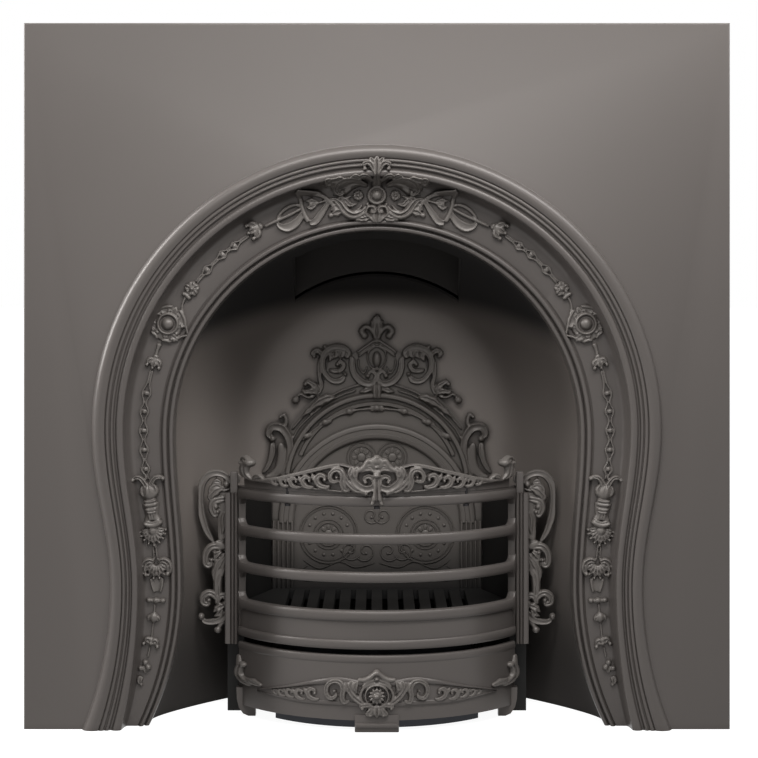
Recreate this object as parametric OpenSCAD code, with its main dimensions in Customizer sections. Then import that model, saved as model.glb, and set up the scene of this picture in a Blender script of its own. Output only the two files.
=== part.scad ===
// Cast iron register fireplace with a horseshoe arch, a bowed fire basket and an ornate fireback.
// X runs to the right, Y runs back from the front, Z runs up from the hearth. Millimetres.
// The origin is on the hearth, in the middle of the whole fireplace's width and depth.
// Inside the modules, Y is the depth behind the face of the front plate.

/* [Front plate] */
// Width of the front plate
plate_w = 965; // [920:5:1070]
// Height of the front plate
plate_h = 965; // [920:5:1070]
// Thickness of the cast plate
plate_t = 6; // [5:0.5:8]
// Depth of the return rim, from the face of the plate
rim_depth = 26; // [20:1:40]
// Thickness of the return rim
rim_t = 6; // [5:0.5:9]

/* [Wall fixing] */
// Diameter of the holes in the fixing ears
ear_hole_d = 9; // [6:0.5:12]
// Side of the square fixing ears
ear_size = 34; // [28:1:44]
// Thickness of the fixing ears
ear_t = 7; // [5:0.5:10]
// Height of the lower fixing holes
ear_low_z = 150; // [100:5:300]
// Height of the upper fixing holes
ear_high_z = 815; // [700:5:860]

/* [Arch moulding] */
// Height of the centre of the arch
arch_z = 409; // [380:1:430]
// Radius of the arch's opening
opening_r = 279; // [265:1:290]
// Half width of the opening at its waist
waist_half = 270; // [255:1:276]
// Half width of the opening at the hearth
foot_half = 314; // [300:1:325]
// Height of the waist
waist_z = 193; // [170:1:220]
// Width of the inner beads round the arch
inner_mould_w = 20.5; // [18:0.5:24]
// Width of the inner beads at the waist
inner_mould_waist = 15; // [13:0.5:18]
// Width of the inner beads at the hearth
inner_mould_foot = 10; // [9:0.5:14]
// Width of the ornament band round the arch
band_w = 45.5; // [40:0.5:50]
// Width of the ornament band at the waist
band_waist = 40; // [36:0.5:44]
// Width of the ornament band at the hearth
band_foot = 24; // [20:0.5:30]
// Width of the outer mouldings round the arch
outer_mould_w = 41; // [36:0.5:46]
// Width of the outer mouldings at the waist
outer_mould_waist = 34; // [30:0.5:38]
// Width of the outer mouldings at the hearth
outer_mould_foot = 50; // [44:0.5:54]
// How far the centre of the band's inner edge lies below the arch centre
band_drop = 15; // [8:1:18]
// How far the centre of the opening lies below the arch centre
opening_drop = 7; // [4:1:12]
// How far the outer roll stands in front of the plate
roll_proud = 12; // [8:1:16]
// How far the ornament band lies behind the face of the plate
band_recess = 20; // [14:1:26]
// Depth of the opening's inner edge behind the face of the plate
opening_depth = 62; // [54:1:72]
// Wall of the moulding
mould_wall = 7; // [6:0.5:8]

/* [Niche] */
// Depth of the niche's back, inside, behind the face of the plate
niche_depth = 235; // [225:1:260]
// Wall of the niche casting
niche_t = 5; // [4:0.5:7]
// Half width of the flat back of the niche
back_half = 178; // [176:1:184]
// Height of the crown of the niche's back
back_crown_z = 590; // [580:1:610]
// Depth of the two upright ribs behind the niche
rear_rib = 11; // [9:1:16]
// Width of the ribs
rib_w = 8; // [6:1:12]
// Spacing of the ribs
rib_spacing = 160; // [140:5:180]

/* [Throat and damper] */
// Width of the throat, inside
throat_w = 240; // [200:5:260]
// Length of the throat from front to back, inside
throat_l = 100; // [90:1:104]
// Depth of the throat's front edge behind the face of the plate
throat_front = 96; // [94:1:100]
// How far the neck stands above the crown of the opening
neck_rise = 25; // [20:1:60]
// Width of the flange round the neck
neck_flange = 20; // [18:1:26]
// Thickness of the throat frame
frame_t = 8; // [6:0.5:12]
// How far the throat frame covers the throat on each side
frame_lap = 14; // [12:0.5:16]
// Thickness of the damper flap
flap_t = 5; // [4:0.5:7]
// Diameter of the damper's hinge pin
pin_d = 8; // [6:0.5:10]
// Clearance round the hinge pin, on the radius
pin_clear = 0.08; // [0.05:0.01:0.1]
// Diameter of the screws of the throat frame
frame_screw_d = 6; // [5:0.5:8]

/* [Basket] */
// Radius of the bowed front bars, to their faces
bow_r = 229; // [224:1:236]
// How far the bars stand in front of the plate
bars_proud = 20; // [14:1:26]
// Half width of the basket at the bar ends
basket_half = 202; // [196:1:206]
// Height of the top bar
top_bar_z = 313; // [300:1:320]
// Distance from bar to bar
bar_pitch = 52; // [46:0.5:54]
// Height of a bar's section
bar_h = 14; // [12:0.5:16]
// Depth of a bar's section
bar_d = 13; // [11:0.5:15]
// Number of bars
bar_count = 4; // [4:4]
// Height of the bead under the fret
fret_bead_z = 118; // [112:1:122]
// Thickness of the fret
fret_t = 5; // [4:0.5:7]
// Width of the end posts
post_w = 18; // [16:0.5:20]
// Depth of the end posts
post_d = 14; // [12:0.5:16]
// Bottom of the end posts
post_low_z = 100; // [96:1:106]
// Top of the end posts
post_high_z = 343; // [338:1:350]
// How high the crest rises above the top bar
crest_rise = 65; // [56:1:70]
// How far the largest ornament stands in front of the bars
boss_proud = 12; // [10:0.5:14]
// How far the bars lift before they unhook
bars_lift = 18; // [16:1:20]

/* [Side wings] */
// Gap between a wing and the wall of the niche
wing_clear = 6; // [4:0.5:9]
// Thickness of a wing
wing_t = 6; // [5:0.5:8]
// Bottom of the wings
wing_low_z = 117; // [112:1:124]
// Top of the wings
wing_high_z = 343; // [338:1:350]

/* [Cheeks and grate] */
// Thickness of the side cheeks
cheek_t = 8; // [7:0.5:10]
// Height of the side cheeks
cheek_h = 300; // [296:1:304]
// Width of the cheeks' rear flanges
cheek_flange = 18; // [17:0.5:19]
// Height of the top of the bottom grate
grate_z = 158; // [154:1:162]
// Thickness of the bottom grate
grate_t = 14; // [12:0.5:16]
// Width of a grate slat
slat_w = 15; // [13:0.5:17]
// Width of the gap between two slats
slat_gap = 7.7; // [6.5:0.1:9]
// Width of the ledges that carry the grate
ledge_w = 12; // [10:0.5:14]

/* [Fireback] */
// Half width of the fireback at its legs
leg_outer = 155; // [152:0.5:157]
// Width of the fluted legs
leg_w = 31; // [28:0.5:33]
// Thickness of the fireback's plate
fireback_t = 6; // [5:0.5:8]
// How far the legs and arches stand in front of its plate
fireback_relief = 6; // [5:0.5:8]
// Height of the springing of the fireback's arches
spring_z = 258; // [250:1:264]
// Height of the finial's tip
finial_z = 564; // [556:1:570]
// Radius of the outer arch of the fireback
outer_arch_r = 185; // [180:1:188]

/* [Ash cover and pan] */
// Top of the ash cover's rim
ash_rim_z = 104; // [100:1:106]
// Bottom of the ash cover's panel
ash_panel_z = 16; // [12:1:20]
// Thickness of the ash cover
ash_cover_t = 6; // [5:0.5:7]
// Width of the tab under the ash cover
tab_w = 60; // [50:1:70]
// Half width of the ash pan
pan_half = 142; // [130:1:146]
// Height of the ash pan
pan_h = 82; // [70:1:90]
// Sheet thickness of the ash pan
pan_t = 1.6; // [1.2:0.1:2]
// Gap between the ash pan and the ash cover, for the handle
handle_room = 22; // [20:1:26]
// Diameter of the ash pan's handle wire
handle_wire = 6; // [5:0.5:7]

/* [Fits] */
// Gap between castings that seat on each other
seat = 0.3; // [0.2:0.05:0.4]
// Clearance round screws, on the radius
screw_clear = 0.3; // [0.2:0.05:0.5]
// Diameter of the screws that hold the niche
niche_screw_d = 8; // [7:0.5:9]
// Diameter of the small screws
small_screw_d = 6; // [5:0.5:7]
// Diameter of the screws through the cheeks' flanges
cheek_screw_d = 5; // [4:0.5:5]

/* [Hidden] */
$fn = 48;

iron = "#56514d";
steel = "#8b8d8f";
sheet = "#3c3d3f";

// Depth of the whole fireplace, and where that puts the plate's face
front_reach = bars_proud + boss_proud;
rear_reach = niche_depth + niche_t + rear_rib;
plate_y = (front_reach - rear_reach) / 2;

// The arch has four guide lines: the outer edge, the band's two edges and the opening
arch_half = [
    opening_r + inner_mould_w + band_w + outer_mould_w,
    opening_r + inner_mould_w + band_w,
    opening_r + inner_mould_w,
    opening_r
];
waist_halves = [
    waist_half + inner_mould_waist + band_waist + outer_mould_waist,
    waist_half + inner_mould_waist + band_waist,
    waist_half + inner_mould_waist,
    waist_half
];
foot_halves = [
    foot_half + inner_mould_foot + band_foot + outer_mould_foot,
    foot_half + inner_mould_foot + band_foot,
    foot_half + inner_mould_foot,
    foot_half
];
centre_z = [arch_z, arch_z, arch_z - band_drop, arch_z - opening_drop];

leg_steps = 7;
arch_steps = 36;
// The castings are drawn a little past the hearth and then cut off level with it
foot_z = -4;
last_station = 2 * leg_steps + arch_steps;

function mix(a, b, t) = a + (b - a) * t;

// Half width of a guide line below the arch: a cosine down to the waist, then an arc out to the foot
function flare_r(guide) =
    let (out = foot_halves[guide] - waist_halves[guide])
    (waist_z * waist_z + out * out) / (2 * out);
function leg_half(guide, z) =
    z > waist_z
    ? mix(waist_halves[guide], arch_half[guide],
          (1 - cos(180 * (z - waist_z) / (centre_z[guide] - waist_z))) / 2)
    : waist_halves[guide] + flare_r(guide)
      - sqrt(flare_r(guide) * flare_r(guide) - (waist_z - z) * (waist_z - z));

// Stations run from the left foot, over the crown, to the right foot
function on_left(station) = station < leg_steps;
function on_right(station) = station > leg_steps + arch_steps;
function arch_angle(station) = 180 - 180 * (station - leg_steps) / arch_steps;
function leg_share(station) =
    on_left(station) ? station / leg_steps : (last_station - station) / leg_steps;
function outward(station) =
    on_left(station) ? [-1, 0]
    : on_right(station) ? [1, 0]
    : [cos(arch_angle(station)), sin(arch_angle(station))];
function guide_point(guide, station) =
    (on_left(station) || on_right(station))
    ? let (z = mix(foot_z, centre_z[guide], leg_share(station))) [outward(station)[0] * leg_half(guide, z), z]
    : [0, centre_z[guide]] + arch_half[guide] * outward(station);

// A point of the section: its place across the guides (0 to 3), a step outwards, and its depth
function section_point(point, station) =
    let (
        guide = max(0, min(floor(point[0]), 2)),
        share = point[0] - guide,
        flat = mix(guide_point(guide, station), guide_point(guide + 1, station), share)
               + point[1] * outward(station)
    )
    [flat[0], point[2], flat[1]];

// The section of the moulding: front from the outer roll to the opening, then back behind
roll_foot = -0.13;
roll_half = 0.215;
bead_groove = -2.4;
bead_rise = 3;
inner_rise = 3.2;
plate_bite = plate_t / 2;
mould_section = [
    [roll_foot + 0.02, 0, plate_bite],
    for (a = [15:30:165])
        [roll_foot + roll_half * (1 - cos(a)), 0, -roll_proud * pow(sin(a), 0.8)],
    // Two fine beads beside the roll, then a wider one
    [0.32, 0, bead_groove],
    [0.40, 0, bead_groove - bead_rise],
    [0.485, 0, bead_groove],
    [0.55, 0, bead_groove - bead_rise],
    [0.64, 0, -0.6],
    [0.73, 0, -3.4],
    [0.83, 0, -5],
    [0.93, 0, -3.4],
    // The cove that turns down into the band
    [0.965, 0, 2.5],
    [1.00, 0, 0.4 * band_recess],
    [1.06, 0, 0.7 * band_recess],
    [1.14, 0, 0.9 * band_recess],
    [1.22, 0, band_recess],
    [2.03, 0, band_recess],
    // The inner roll with a shallow dip along it, and the bead at the opening's edge
    [2.09, 0, band_recess + inner_rise],
    [2.17, 0, band_recess - 0.5],
    [2.33, 0, band_recess - inner_rise],
    [2.48, 0, band_recess - inner_rise + 1],
    [2.60, 0, band_recess - inner_rise],
    [2.72, 0, band_recess + 1.5],
    [2.80, 0, band_recess + 7],
    [2.88, 0, band_recess + 5.5],
    [2.97, 0, band_recess + 8],
    [3.00, 0, band_recess + 14],
    [3.00, 0, opening_depth],
    [3.00, mould_wall, opening_depth],
    [3.00, mould_wall, band_recess + 26],
    [2.00, 0, band_recess + inner_rise + mould_wall],
    [1.10, 0, band_recess + mould_wall],
    [0.80, 0, plate_t + 4],
    [0.40, 0, plate_t + 3],
    [roll_foot + 0.08, 0, plate_t + 3]
];

// Closed tube of sections, with a flat cap at each foot
module swept(sections) {
    count = len(sections[0]);
    rows = len(sections);
    points = [for (row = sections) each row];
    sides = [
        for (r = [0:rows - 2], c = [0:count - 1])
        let (n = (c + 1) % count, a = r * count, b = (r + 1) * count)
        each [[a + c, b + c, b + n], [a + c, b + n, a + n]]
    ];
    first_cap = [for (c = [0:count - 1]) c];
    last_cap = [for (c = [count - 1:-1:0]) (rows - 1) * count + c];
    polyhedron(points, concat(sides, [first_cap, last_cap]), convexity = 10);
}

module in_place() {
    translate([0, plate_y, 0]) children();
}

// Extrudes a shape drawn in X and Z, from one depth to another
module front_slab(from_y, to_y) {
    translate([0, to_y, 0]) rotate([90, 0, 0]) linear_extrude(to_y - from_y) children();
}

// A box between two corners
module box(low, high) {
    translate(low) cube(high - low);
}

// Cuts its shape off level with the hearth
module cut_at_hearth() {
    difference() {
        children();
        translate([-plate_w, -plate_w, 2 * foot_z - 10]) cube([2 * plate_w, 2 * plate_w, 10 - 2 * foot_z]);
    }
}

module on_both_sides() {
    children();
    mirror([1, 0, 0]) children();
}

// A round bar along Y
module rod_y(d, x, z, from_y, to_y) {
    translate([x, to_y, z]) rotate([90, 0, 0]) cylinder(d = d, h = to_y - from_y);
}

module hex_y(across, x, z, from_y, to_y) {
    translate([x, to_y, z]) rotate([90, 0, 0]) cylinder(d = across / cos(30), h = to_y - from_y, $fn = 6);
}

// ---- Fascia: plate, return rim, arch moulding, fixing ears and screw bosses ----

cut_line = 0.22;
module plate_blank() {
    front_slab(0, plate_t) difference() {
        translate([-plate_w / 2, foot_z / 2]) square([plate_w, plate_h - foot_z / 2]);
        polygon([for (s = [0:last_station]) mix(guide_point(0, s), guide_point(1, s), cut_line)]);
    }
}

module return_rim() {
    front_slab(plate_t / 2, rim_depth) difference() {
        translate([-plate_w / 2, foot_z / 2]) square([plate_w, plate_h - foot_z / 2]);
        translate([-plate_w / 2 + rim_t, foot_z]) square([plate_w - 2 * rim_t, plate_h - rim_t - foot_z]);
    }
}

ear_x = plate_w / 2 - rim_t - ear_size / 2;
module fixing_ears() {
    on_both_sides()
        for (z = [ear_low_z, ear_high_z])
            box([ear_x - ear_size / 2, rim_depth - ear_t, z - ear_size / 2],
                [plate_w / 2 - rim_t / 2, rim_depth, z + ear_size / 2]);
}

// Screws that pull the niche against the back of the moulding: a pair by the feet,
// a pair above the waist and a pair on the arch, given as stations of the right-hand side
boss_out = 18;
boss_r = 9.5;
boss_stations = [last_station - 2, last_station - 5, last_station - leg_steps - 7];
boss_spots = [for (s = boss_stations) guide_point(3, s) + boss_out * outward(s)];

module fascia() {
    color(iron) in_place() cut_at_hearth() difference() {
        union() {
            plate_blank();
            return_rim();
            fixing_ears();
            swept([for (s = [0:last_station]) [for (p = mould_section) section_point(p, s)]]);
            on_both_sides()
                for (spot = boss_spots)
                    rod_y(2 * boss_r, spot[0], spot[1], band_recess + mould_wall - 1, opening_depth);
        }
        on_both_sides() {
            for (z = [ear_low_z, ear_high_z])
                rod_y(ear_hole_d, ear_x, z, rim_depth - ear_t - 1, rim_depth + 1);
            for (spot = boss_spots)
                rod_y(niche_screw_d + 2 * screw_clear, spot[0], spot[1], boss_hole_y, opening_depth + 1);
        }
    }
}
boss_hole_y = band_recess + mould_wall + 5;

// ---- Niche: lofted from the opening to an arched flat back, with a neck for the flue ----

niche_front = opening_depth + seat;
niche_curve = 1.33;
// The walls keep a little of their splay for a rounded turn into the flat back
turn_share = 0.94;
niche_shares = [0, 0.12, 0.28, 0.45, 0.62, 0.78, 0.93, 1];
function splay_share(share) = share < 1 ? turn_share * pow(share, niche_curve) : 1;
niche_stations = [for (s = [0:2:last_station]) s];

function back_point(station, step_out) =
    let (way = outward(station), z0 = centre_z[3])
    (on_left(station) || on_right(station))
    ? [way[0] * (back_half + step_out), mix(foot_z, z0, leg_share(station))]
    : [way[0] * (back_half + step_out), z0 + way[1] * (back_crown_z - z0 + step_out)];
function niche_point(share, station, step_out) =
    let (flat = mix(guide_point(3, station) + step_out * outward(station),
                    back_point(station, step_out), splay_share(share)))
    [flat[0], mix(niche_front, niche_depth + step_out, share), flat[1]];

module niche_shell() {
    n = len(niche_stations);
    m = len(niche_shares);
    points = concat(
        [for (step_out = [niche_t, 0], share = niche_shares, s = niche_stations)
            niche_point(share, s, step_out)],
        [[0, niche_depth + niche_t, foot_z], [0, niche_depth, foot_z]]
    );
    inner = n * m;
    outer_hub = 2 * n * m;
    inner_hub = outer_hub + 1;
    faces = concat(
        [for (i = [0:m - 2], j = [0:n - 2]) let (a = i * n + j) each [
            [a, a + n + 1, a + 1], [a, a + n, a + n + 1],
            [inner + a, inner + a + 1, inner + a + n + 1], [inner + a, inner + a + n + 1, inner + a + n]
        ]],
        [for (j = [0:n - 2]) each [[j, j + 1, inner + j + 1], [j, inner + j + 1, inner + j]]],
        [for (j = [0:n - 2]) let (a = (m - 1) * n + j) each [
            [a, outer_hub, a + 1], [inner + a, inner + a + 1, inner_hub]
        ]],
        [concat([for (i = [0:m - 1]) i * n], [outer_hub, inner_hub],
                [for (i = [m - 1:-1:0]) inner + i * n]) ],
        [concat([for (i = [m - 1:-1:0]) i * n + n - 1],
                [for (i = [0:m - 1]) inner + i * n + n - 1], [inner_hub, outer_hub])]
    );
    polyhedron(points, [for (f = faces) [for (k = [len(f) - 1:-1:0]) f[k]]], convexity = 10);
}

throat_rear = throat_front + throat_l;
neck_wall = niche_t;
neck_root_z = back_crown_z - 90;
neck_top_z = arch_z - opening_drop + opening_r + neck_rise;
module neck_block(grow, low_z, high_z) {
    box([-throat_w / 2 - grow, throat_front - grow, low_z],
        [throat_w / 2 + grow, throat_rear + grow, high_z]);
}

// The lugs' faces lie a little behind the niche's front edge, which takes the seat
screw_lug_r = 12;
screw_lug_t = 7;
screw_lug_front = niche_front + 0.2;
module screw_lug(spot, way) {
    rod_y(2 * screw_lug_r, spot[0], spot[1], screw_lug_front, screw_lug_front + screw_lug_t);
    translate([spot[0], screw_lug_front, spot[1]])
        rotate([0, -atan2(way[1], way[0]), 0])
            translate([-boss_out + 2, 0, -screw_lug_r])
                cube([boss_out - 2, screw_lug_t, 2 * screw_lug_r]);
}

stud_spots = [[leg_outer - leg_w / 2, 60], [leg_outer - leg_w / 2, 300]];
cheek_screw_z = [70, 250];
cheek_head_d = 8;
cheek_screw_x = leg_outer + 2 + cheek_t + cheek_head_d / 2 + 1.3;

module niche() {
    color(iron) in_place() cut_at_hearth() difference() {
        union() {
            niche_shell();
            difference() {
                neck_block(neck_wall, neck_root_z, neck_top_z);
                niche_core(niche_t / 2);
            }
            neck_block(neck_flange, neck_top_z - 6, neck_top_z);
            on_both_sides() {
                for (k = [0:len(boss_stations) - 1]) screw_lug(boss_spots[k], outward(boss_stations[k]));
                box([rib_spacing / 2 - rib_w / 2, niche_depth + niche_t - 1, 20],
                    [rib_spacing / 2 + rib_w / 2, rear_reach, back_crown_z - 90]);
            }
        }
        neck_block(0, neck_root_z, neck_top_z + 1);
        on_both_sides() {
            for (spot = boss_spots)
                rod_y(niche_screw_d + 2 * screw_clear, spot[0], spot[1], niche_front - 1,
                      screw_lug_front + screw_lug_t + 1);
            for (spot = stud_spots)
                rod_y(small_screw_d + 2 * screw_clear, spot[0], spot[1], niche_depth - 1, rear_reach);
            for (z = cheek_screw_z)
                rod_y(cheek_screw_d + 2 * screw_clear, cheek_screw_x, z, niche_depth - 1, rear_reach);
            for (y = frame_screw_y)
                translate([frame_screw_x, y, neck_top_z - 8])
                    cylinder(d = frame_screw_d + 2 * screw_clear, h = 10);
        }
    }
}

// The space inside the niche, out to a step within its wall
module niche_core(step_out) {
    swept([for (share = niche_shares) [for (s = niche_stations) niche_point(share, s, step_out)]]);
}

niche_screw_tip = boss_hole_y + 2;
module niche_screws() {
    color(steel) in_place() on_both_sides()
        for (spot = boss_spots) {
            seat_y = screw_lug_front + screw_lug_t;
            rod_y(niche_screw_d, spot[0], spot[1], niche_screw_tip, seat_y + 1);
            hex_y(13, spot[0], spot[1], seat_y, seat_y + 5.5);
        }
}

// ---- Throat frame and damper ----

frame_z = neck_top_z + seat;
frame_top_z = frame_z + frame_t;
frame_screw_x = throat_w / 2 + neck_flange - 8;
frame_screw_y = [throat_front - neck_flange + 8, throat_rear + neck_flange - 8];
hinge_y = throat_rear + 4;
knuckle_r = pin_d / 2 + 3.5;
hinge_z = frame_top_z + seat + knuckle_r;
ear_gap = 0.5;
hinge_ear_w = 10;
flap_half = throat_w / 2 - frame_lap + 4;

module throat_frame() {
    color(iron) in_place() difference() {
        union() {
            neck_block(neck_flange, frame_z, frame_top_z);
            on_both_sides() {
                box([flap_half + ear_gap, hinge_y - knuckle_r, frame_top_z - 1],
                    [flap_half + ear_gap + hinge_ear_w, hinge_y + knuckle_r, hinge_z]);
                translate([flap_half + ear_gap, hinge_y, hinge_z])
                    rotate([0, 90, 0]) cylinder(r = knuckle_r, h = hinge_ear_w);
            }
        }
        neck_block(-frame_lap, frame_z - 1, frame_top_z + 1);
        translate([-throat_w, hinge_y, hinge_z]) rotate([0, 90, 0])
            cylinder(d = pin_d + 2 * pin_clear, h = 2 * throat_w);
        on_both_sides()
            for (y = frame_screw_y)
                translate([frame_screw_x, y, frame_z - 1])
                    cylinder(d = frame_screw_d + 2 * screw_clear, h = frame_t + 2);
    }
}

frame_screw_tail = 14;
module frame_screws() {
    color(steel) in_place() on_both_sides()
        for (y = frame_screw_y)
            translate([frame_screw_x, y, 0]) {
                translate([0, 0, neck_top_z - frame_screw_tail])
                    cylinder(d = frame_screw_d, h = frame_top_z - neck_top_z + frame_screw_tail + 1);
                translate([0, 0, frame_top_z]) cylinder(d = 10 / cos(30), h = 4, $fn = 6);
            }
}

module frame_nuts() {
    color(steel) in_place() on_both_sides()
        for (y = frame_screw_y)
            translate([frame_screw_x, y, neck_top_z - 11]) difference() {
                cylinder(d = 10 / cos(30), h = 5, $fn = 6);
                translate([0, 0, -1]) cylinder(d = frame_screw_d + 0.2, h = 7);
            }
}

flap_low_z = frame_top_z + seat;
flap_front = throat_front - 2;
eye_y = throat_rear - 66;
knuckle_len = 40;
module damper_flap() {
    color(iron) in_place() difference() {
        union() {
            box([-flap_half, flap_front, flap_low_z], [flap_half, hinge_y, flap_low_z + flap_t]);
            box([-flap_half + 14, flap_front + 12, flap_low_z + flap_t - 1],
                [flap_half - 14, flap_front + 16, flap_low_z + flap_t + 4]);
            on_both_sides()
                translate([flap_half - knuckle_len, hinge_y, hinge_z])
                    rotate([0, 90, 0]) cylinder(r = knuckle_r, h = knuckle_len);
        }
        translate([-throat_w, hinge_y, hinge_z]) rotate([0, 90, 0])
            cylinder(d = pin_d + 2 * pin_clear, h = 2 * throat_w);
        translate([0, eye_y, flap_low_z - 1]) cylinder(d = small_screw_d + 0.2, h = flap_t + 2);
    }
}

module damper_pin() {
    half = flap_half + ear_gap + hinge_ear_w;
    color(steel) in_place() translate([0, hinge_y, hinge_z]) rotate([0, 90, 0]) {
        translate([0, 0, -half - 0.5]) cylinder(d = pin_d, h = 2 * half + 4.5);
        translate([0, 0, -half - 3.8]) cylinder(d = pin_d + 6, h = 3.5);
        translate([0, 0, half + 0.3]) cylinder(d = pin_d + 4, h = 2.5);
    }
}

eye_r = 7.5;
eye_wire = 4;
module damper_eye() {
    color(steel) in_place() translate([0, eye_y, flap_low_z]) {
        translate([0, 0, -3]) cylinder(d = small_screw_d, h = flap_t + 7);
        translate([0, 0, -3 - seat]) cylinder(d = 12, h = 3);
        translate([0, 0, flap_t + 0.2]) cylinder(d = 10 / cos(30), h = 4, $fn = 6);
        translate([0, 0, -2 - eye_r - eye_wire / 2]) rotate([90, 0, 90])
            rotate_extrude() translate([eye_r, 0]) circle(d = eye_wire, $fn = 20);
    }
}

// ---- Fireback: fluted legs, arches, strapwork gable, scrolls and finial ----

fb_rear = niche_depth - seat;
fb_face = fb_rear - fireback_t;
fb_front = fb_face - fireback_relief;
recess_r = leg_outer - leg_w;

module ring_2d(r_out, r_in, z) {
    translate([0, z]) difference() {
        circle(r = r_out);
        circle(r = r_in);
    }
}

// A smooth line through its points, at t from 0 to 1
function bend(p, t) =
    let (n = len(p) - 1, k = min(floor(t * n), n - 1), s = t * n - k)
    let (a = p[k], b = p[k + 1], before = p[max(k - 1, 0)], after = p[min(k + 2, n)])
    0.5 * (2 * a + (b - before) * s + (2 * before - 5 * a + 4 * b - after) * s * s
           + (3 * a - before - 3 * b + after) * s * s * s);

bend_steps = 3;
function smooth_line(points) =
    let (last = bend_steps * (len(points) - 1))
    [for (k = [0:last]) bend(points, k / last)];

// The upper parts take their places from the finial, and the ears theirs from the legs and the springing
crest_mid_z = finial_z - 84;
function under_finial(points) = [for (p = points) [p[0], crest_mid_z + p[1]]];
function by_the_leg(points) = [for (p = points) [leg_outer + p[0], spring_z + p[1]]];
finial_edge =
    under_finial([[0, 84], [5, 75], [10, 68], [9, 61], [16, 65], [25, 63], [29, 56], [24, 50], [14, 50]]);
gable_edge = under_finial([[12, 42], [26, 33], [38, 26]]);
c_scroll_edge = under_finial([[47, 35], [61, 39], [74, 35]]);
spray_edge = under_finial([[86, 36], [97, 34], [101, 26], [94, 21], [88, 18], [88, 0], [89, -16]]);
leaf_edge = under_finial([[98, -22], [107, -15], [117, -18], [117, -27]]);
ball_edge = under_finial([[121, -34], [128, -42], [123, -49], [114, -46], [103, -46]]);
ear_tip_edge = by_the_leg([[-41, 158], [-29, 145], [-23, 154], [-16, 159], [-12, 152], [-15, 145]]);
ear_edge =
    by_the_leg([[-4, 144], [8, 139], [11, 128], [4, 117], [6, 100], [11, 84], [19, 69], [12, 62], [0, 60]]);
scroll_edges =
    concat(finial_edge, gable_edge, c_scroll_edge, spray_edge, leaf_edge, ball_edge, ear_tip_edge, ear_edge);

rim_lift = 51;
rim_w = 10;
c_scroll_x = 59;
c_scroll_z = crest_mid_z + 9;
c_scroll_r = 19;
ear_eye_x = leg_outer - 3;
ear_eye_z = spring_z + 126;
scroll_w = 8;
drop_z = crest_mid_z + 17;
drop_half = [6.6, 11];
flute_foot_z = 20;
flute_top_z = spring_z - 10;
rear_ledge_h = 8;

module fireback_outline() {
    on_both_sides() {
        square([leg_outer, spring_z + 61]);
        polygon(concat([[0, spring_z + 30]], smooth_line(scroll_edges), [[recess_r, spring_z + 30]]));
    }
}

// Raised arches: the rim over the beaded groove, and the plain band that springs from the legs
module fireback_arches() {
    rim_r = outer_arch_r - rim_lift;
    intersection() {
        union() {
            ring_2d(rim_r + rim_w / 2, rim_r - rim_w / 2, spring_z + rim_lift);
            ring_2d(leg_outer, recess_r, spring_z);
        }
        translate([-outer_arch_r, spring_z]) square([2 * outer_arch_r, outer_arch_r + 1]);
        fireback_outline();
    }
}

module fireback() {
    color(iron) in_place() {
        difference() {
            union() {
                front_slab(fb_face, fb_rear) fireback_outline();
                front_slab(fb_front, fb_face + 1) {
                    on_both_sides() translate([recess_r, 0]) square([leg_w, spring_z]);
                    fireback_arches();
                }
                front_slab(fb_front + 1, fb_face + 1) {
                    on_both_sides() {
                        translate([c_scroll_x, 0]) ring_2d(c_scroll_r, c_scroll_r - scroll_w, c_scroll_z);
                        translate([ear_eye_x, 0]) ring_2d(scroll_w, scroll_w / 2, ear_eye_z);
                    }
                    translate([0, drop_z]) scale([drop_half[0] / drop_half[1], 1])
                        circle(r = drop_half[1], $fn = 32);
                }
                on_both_sides()
                    for (spot = stud_spots)
                        rod_y(small_screw_d, spot[0], spot[1], fb_rear - 1, rear_reach - 2);
            }
            on_both_sides()
                for (k = [0:3])
                    translate([recess_r + leg_w * (k + 0.5) / 4, fb_front, flute_foot_z])
                        cylinder(r = leg_w / 8 - 0.6, h = flute_top_z - flute_foot_z, $fn = 16);
        }
        // Ledge that carries the back of the grate
        box([-recess_r + 4, fb_face - ledge_w, grate_z - grate_t - seat - rear_ledge_h],
            [recess_r - 4, fb_face + 1, grate_z - grate_t - seat]);
    }
}

module fireback_nuts() {
    color(steel) in_place() on_both_sides()
        for (spot = stud_spots) difference() {
            hex_y(10, spot[0], spot[1], niche_depth + niche_t, niche_depth + niche_t + 5);
            rod_y(small_screw_d + 0.2, spot[0], spot[1],
                  niche_depth + niche_t - 1, niche_depth + niche_t + 6);
        }
}

// ---- Side cheeks, between the ends of the bars and the fireback ----

bow_centre = bow_r - bars_proud;
post_x = basket_half - 5;
post_rear = bow_centre - sqrt(bow_r * bow_r - basket_half * basket_half) + 1;
post_front = post_rear - post_d;
wing_y = post_rear + seat;
cheek_front = wing_y + wing_t + 8;
cheek_rear = niche_depth - seat;
hook_z = [150, 270];
hook_w = 9;
hook_h = 9;
cheek_toe_x = post_x + post_w - 2;

module cheek_plan() {
    heel_x = leg_outer + 2;
    web = cheek_t;
    polygon([
        [heel_x, cheek_rear], [heel_x + cheek_flange, cheek_rear], [heel_x + cheek_flange, cheek_rear - 6],
        [heel_x + web, cheek_rear - 6], [post_x + 2, cheek_front + 6], [cheek_toe_x, cheek_front + 6],
        [cheek_toe_x, cheek_front], [post_x - web, cheek_front], [heel_x, cheek_rear - 12]
    ]);
}

module ledge_plan() {
    heel_x = leg_outer + 2;
    polygon([
        [heel_x + 2, cheek_rear - 16], [post_x - cheek_t + 2, cheek_front + 4],
        [post_x - cheek_t - ledge_w, cheek_front + 4], [heel_x - ledge_w, cheek_rear - 26]
    ]);
}

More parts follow.
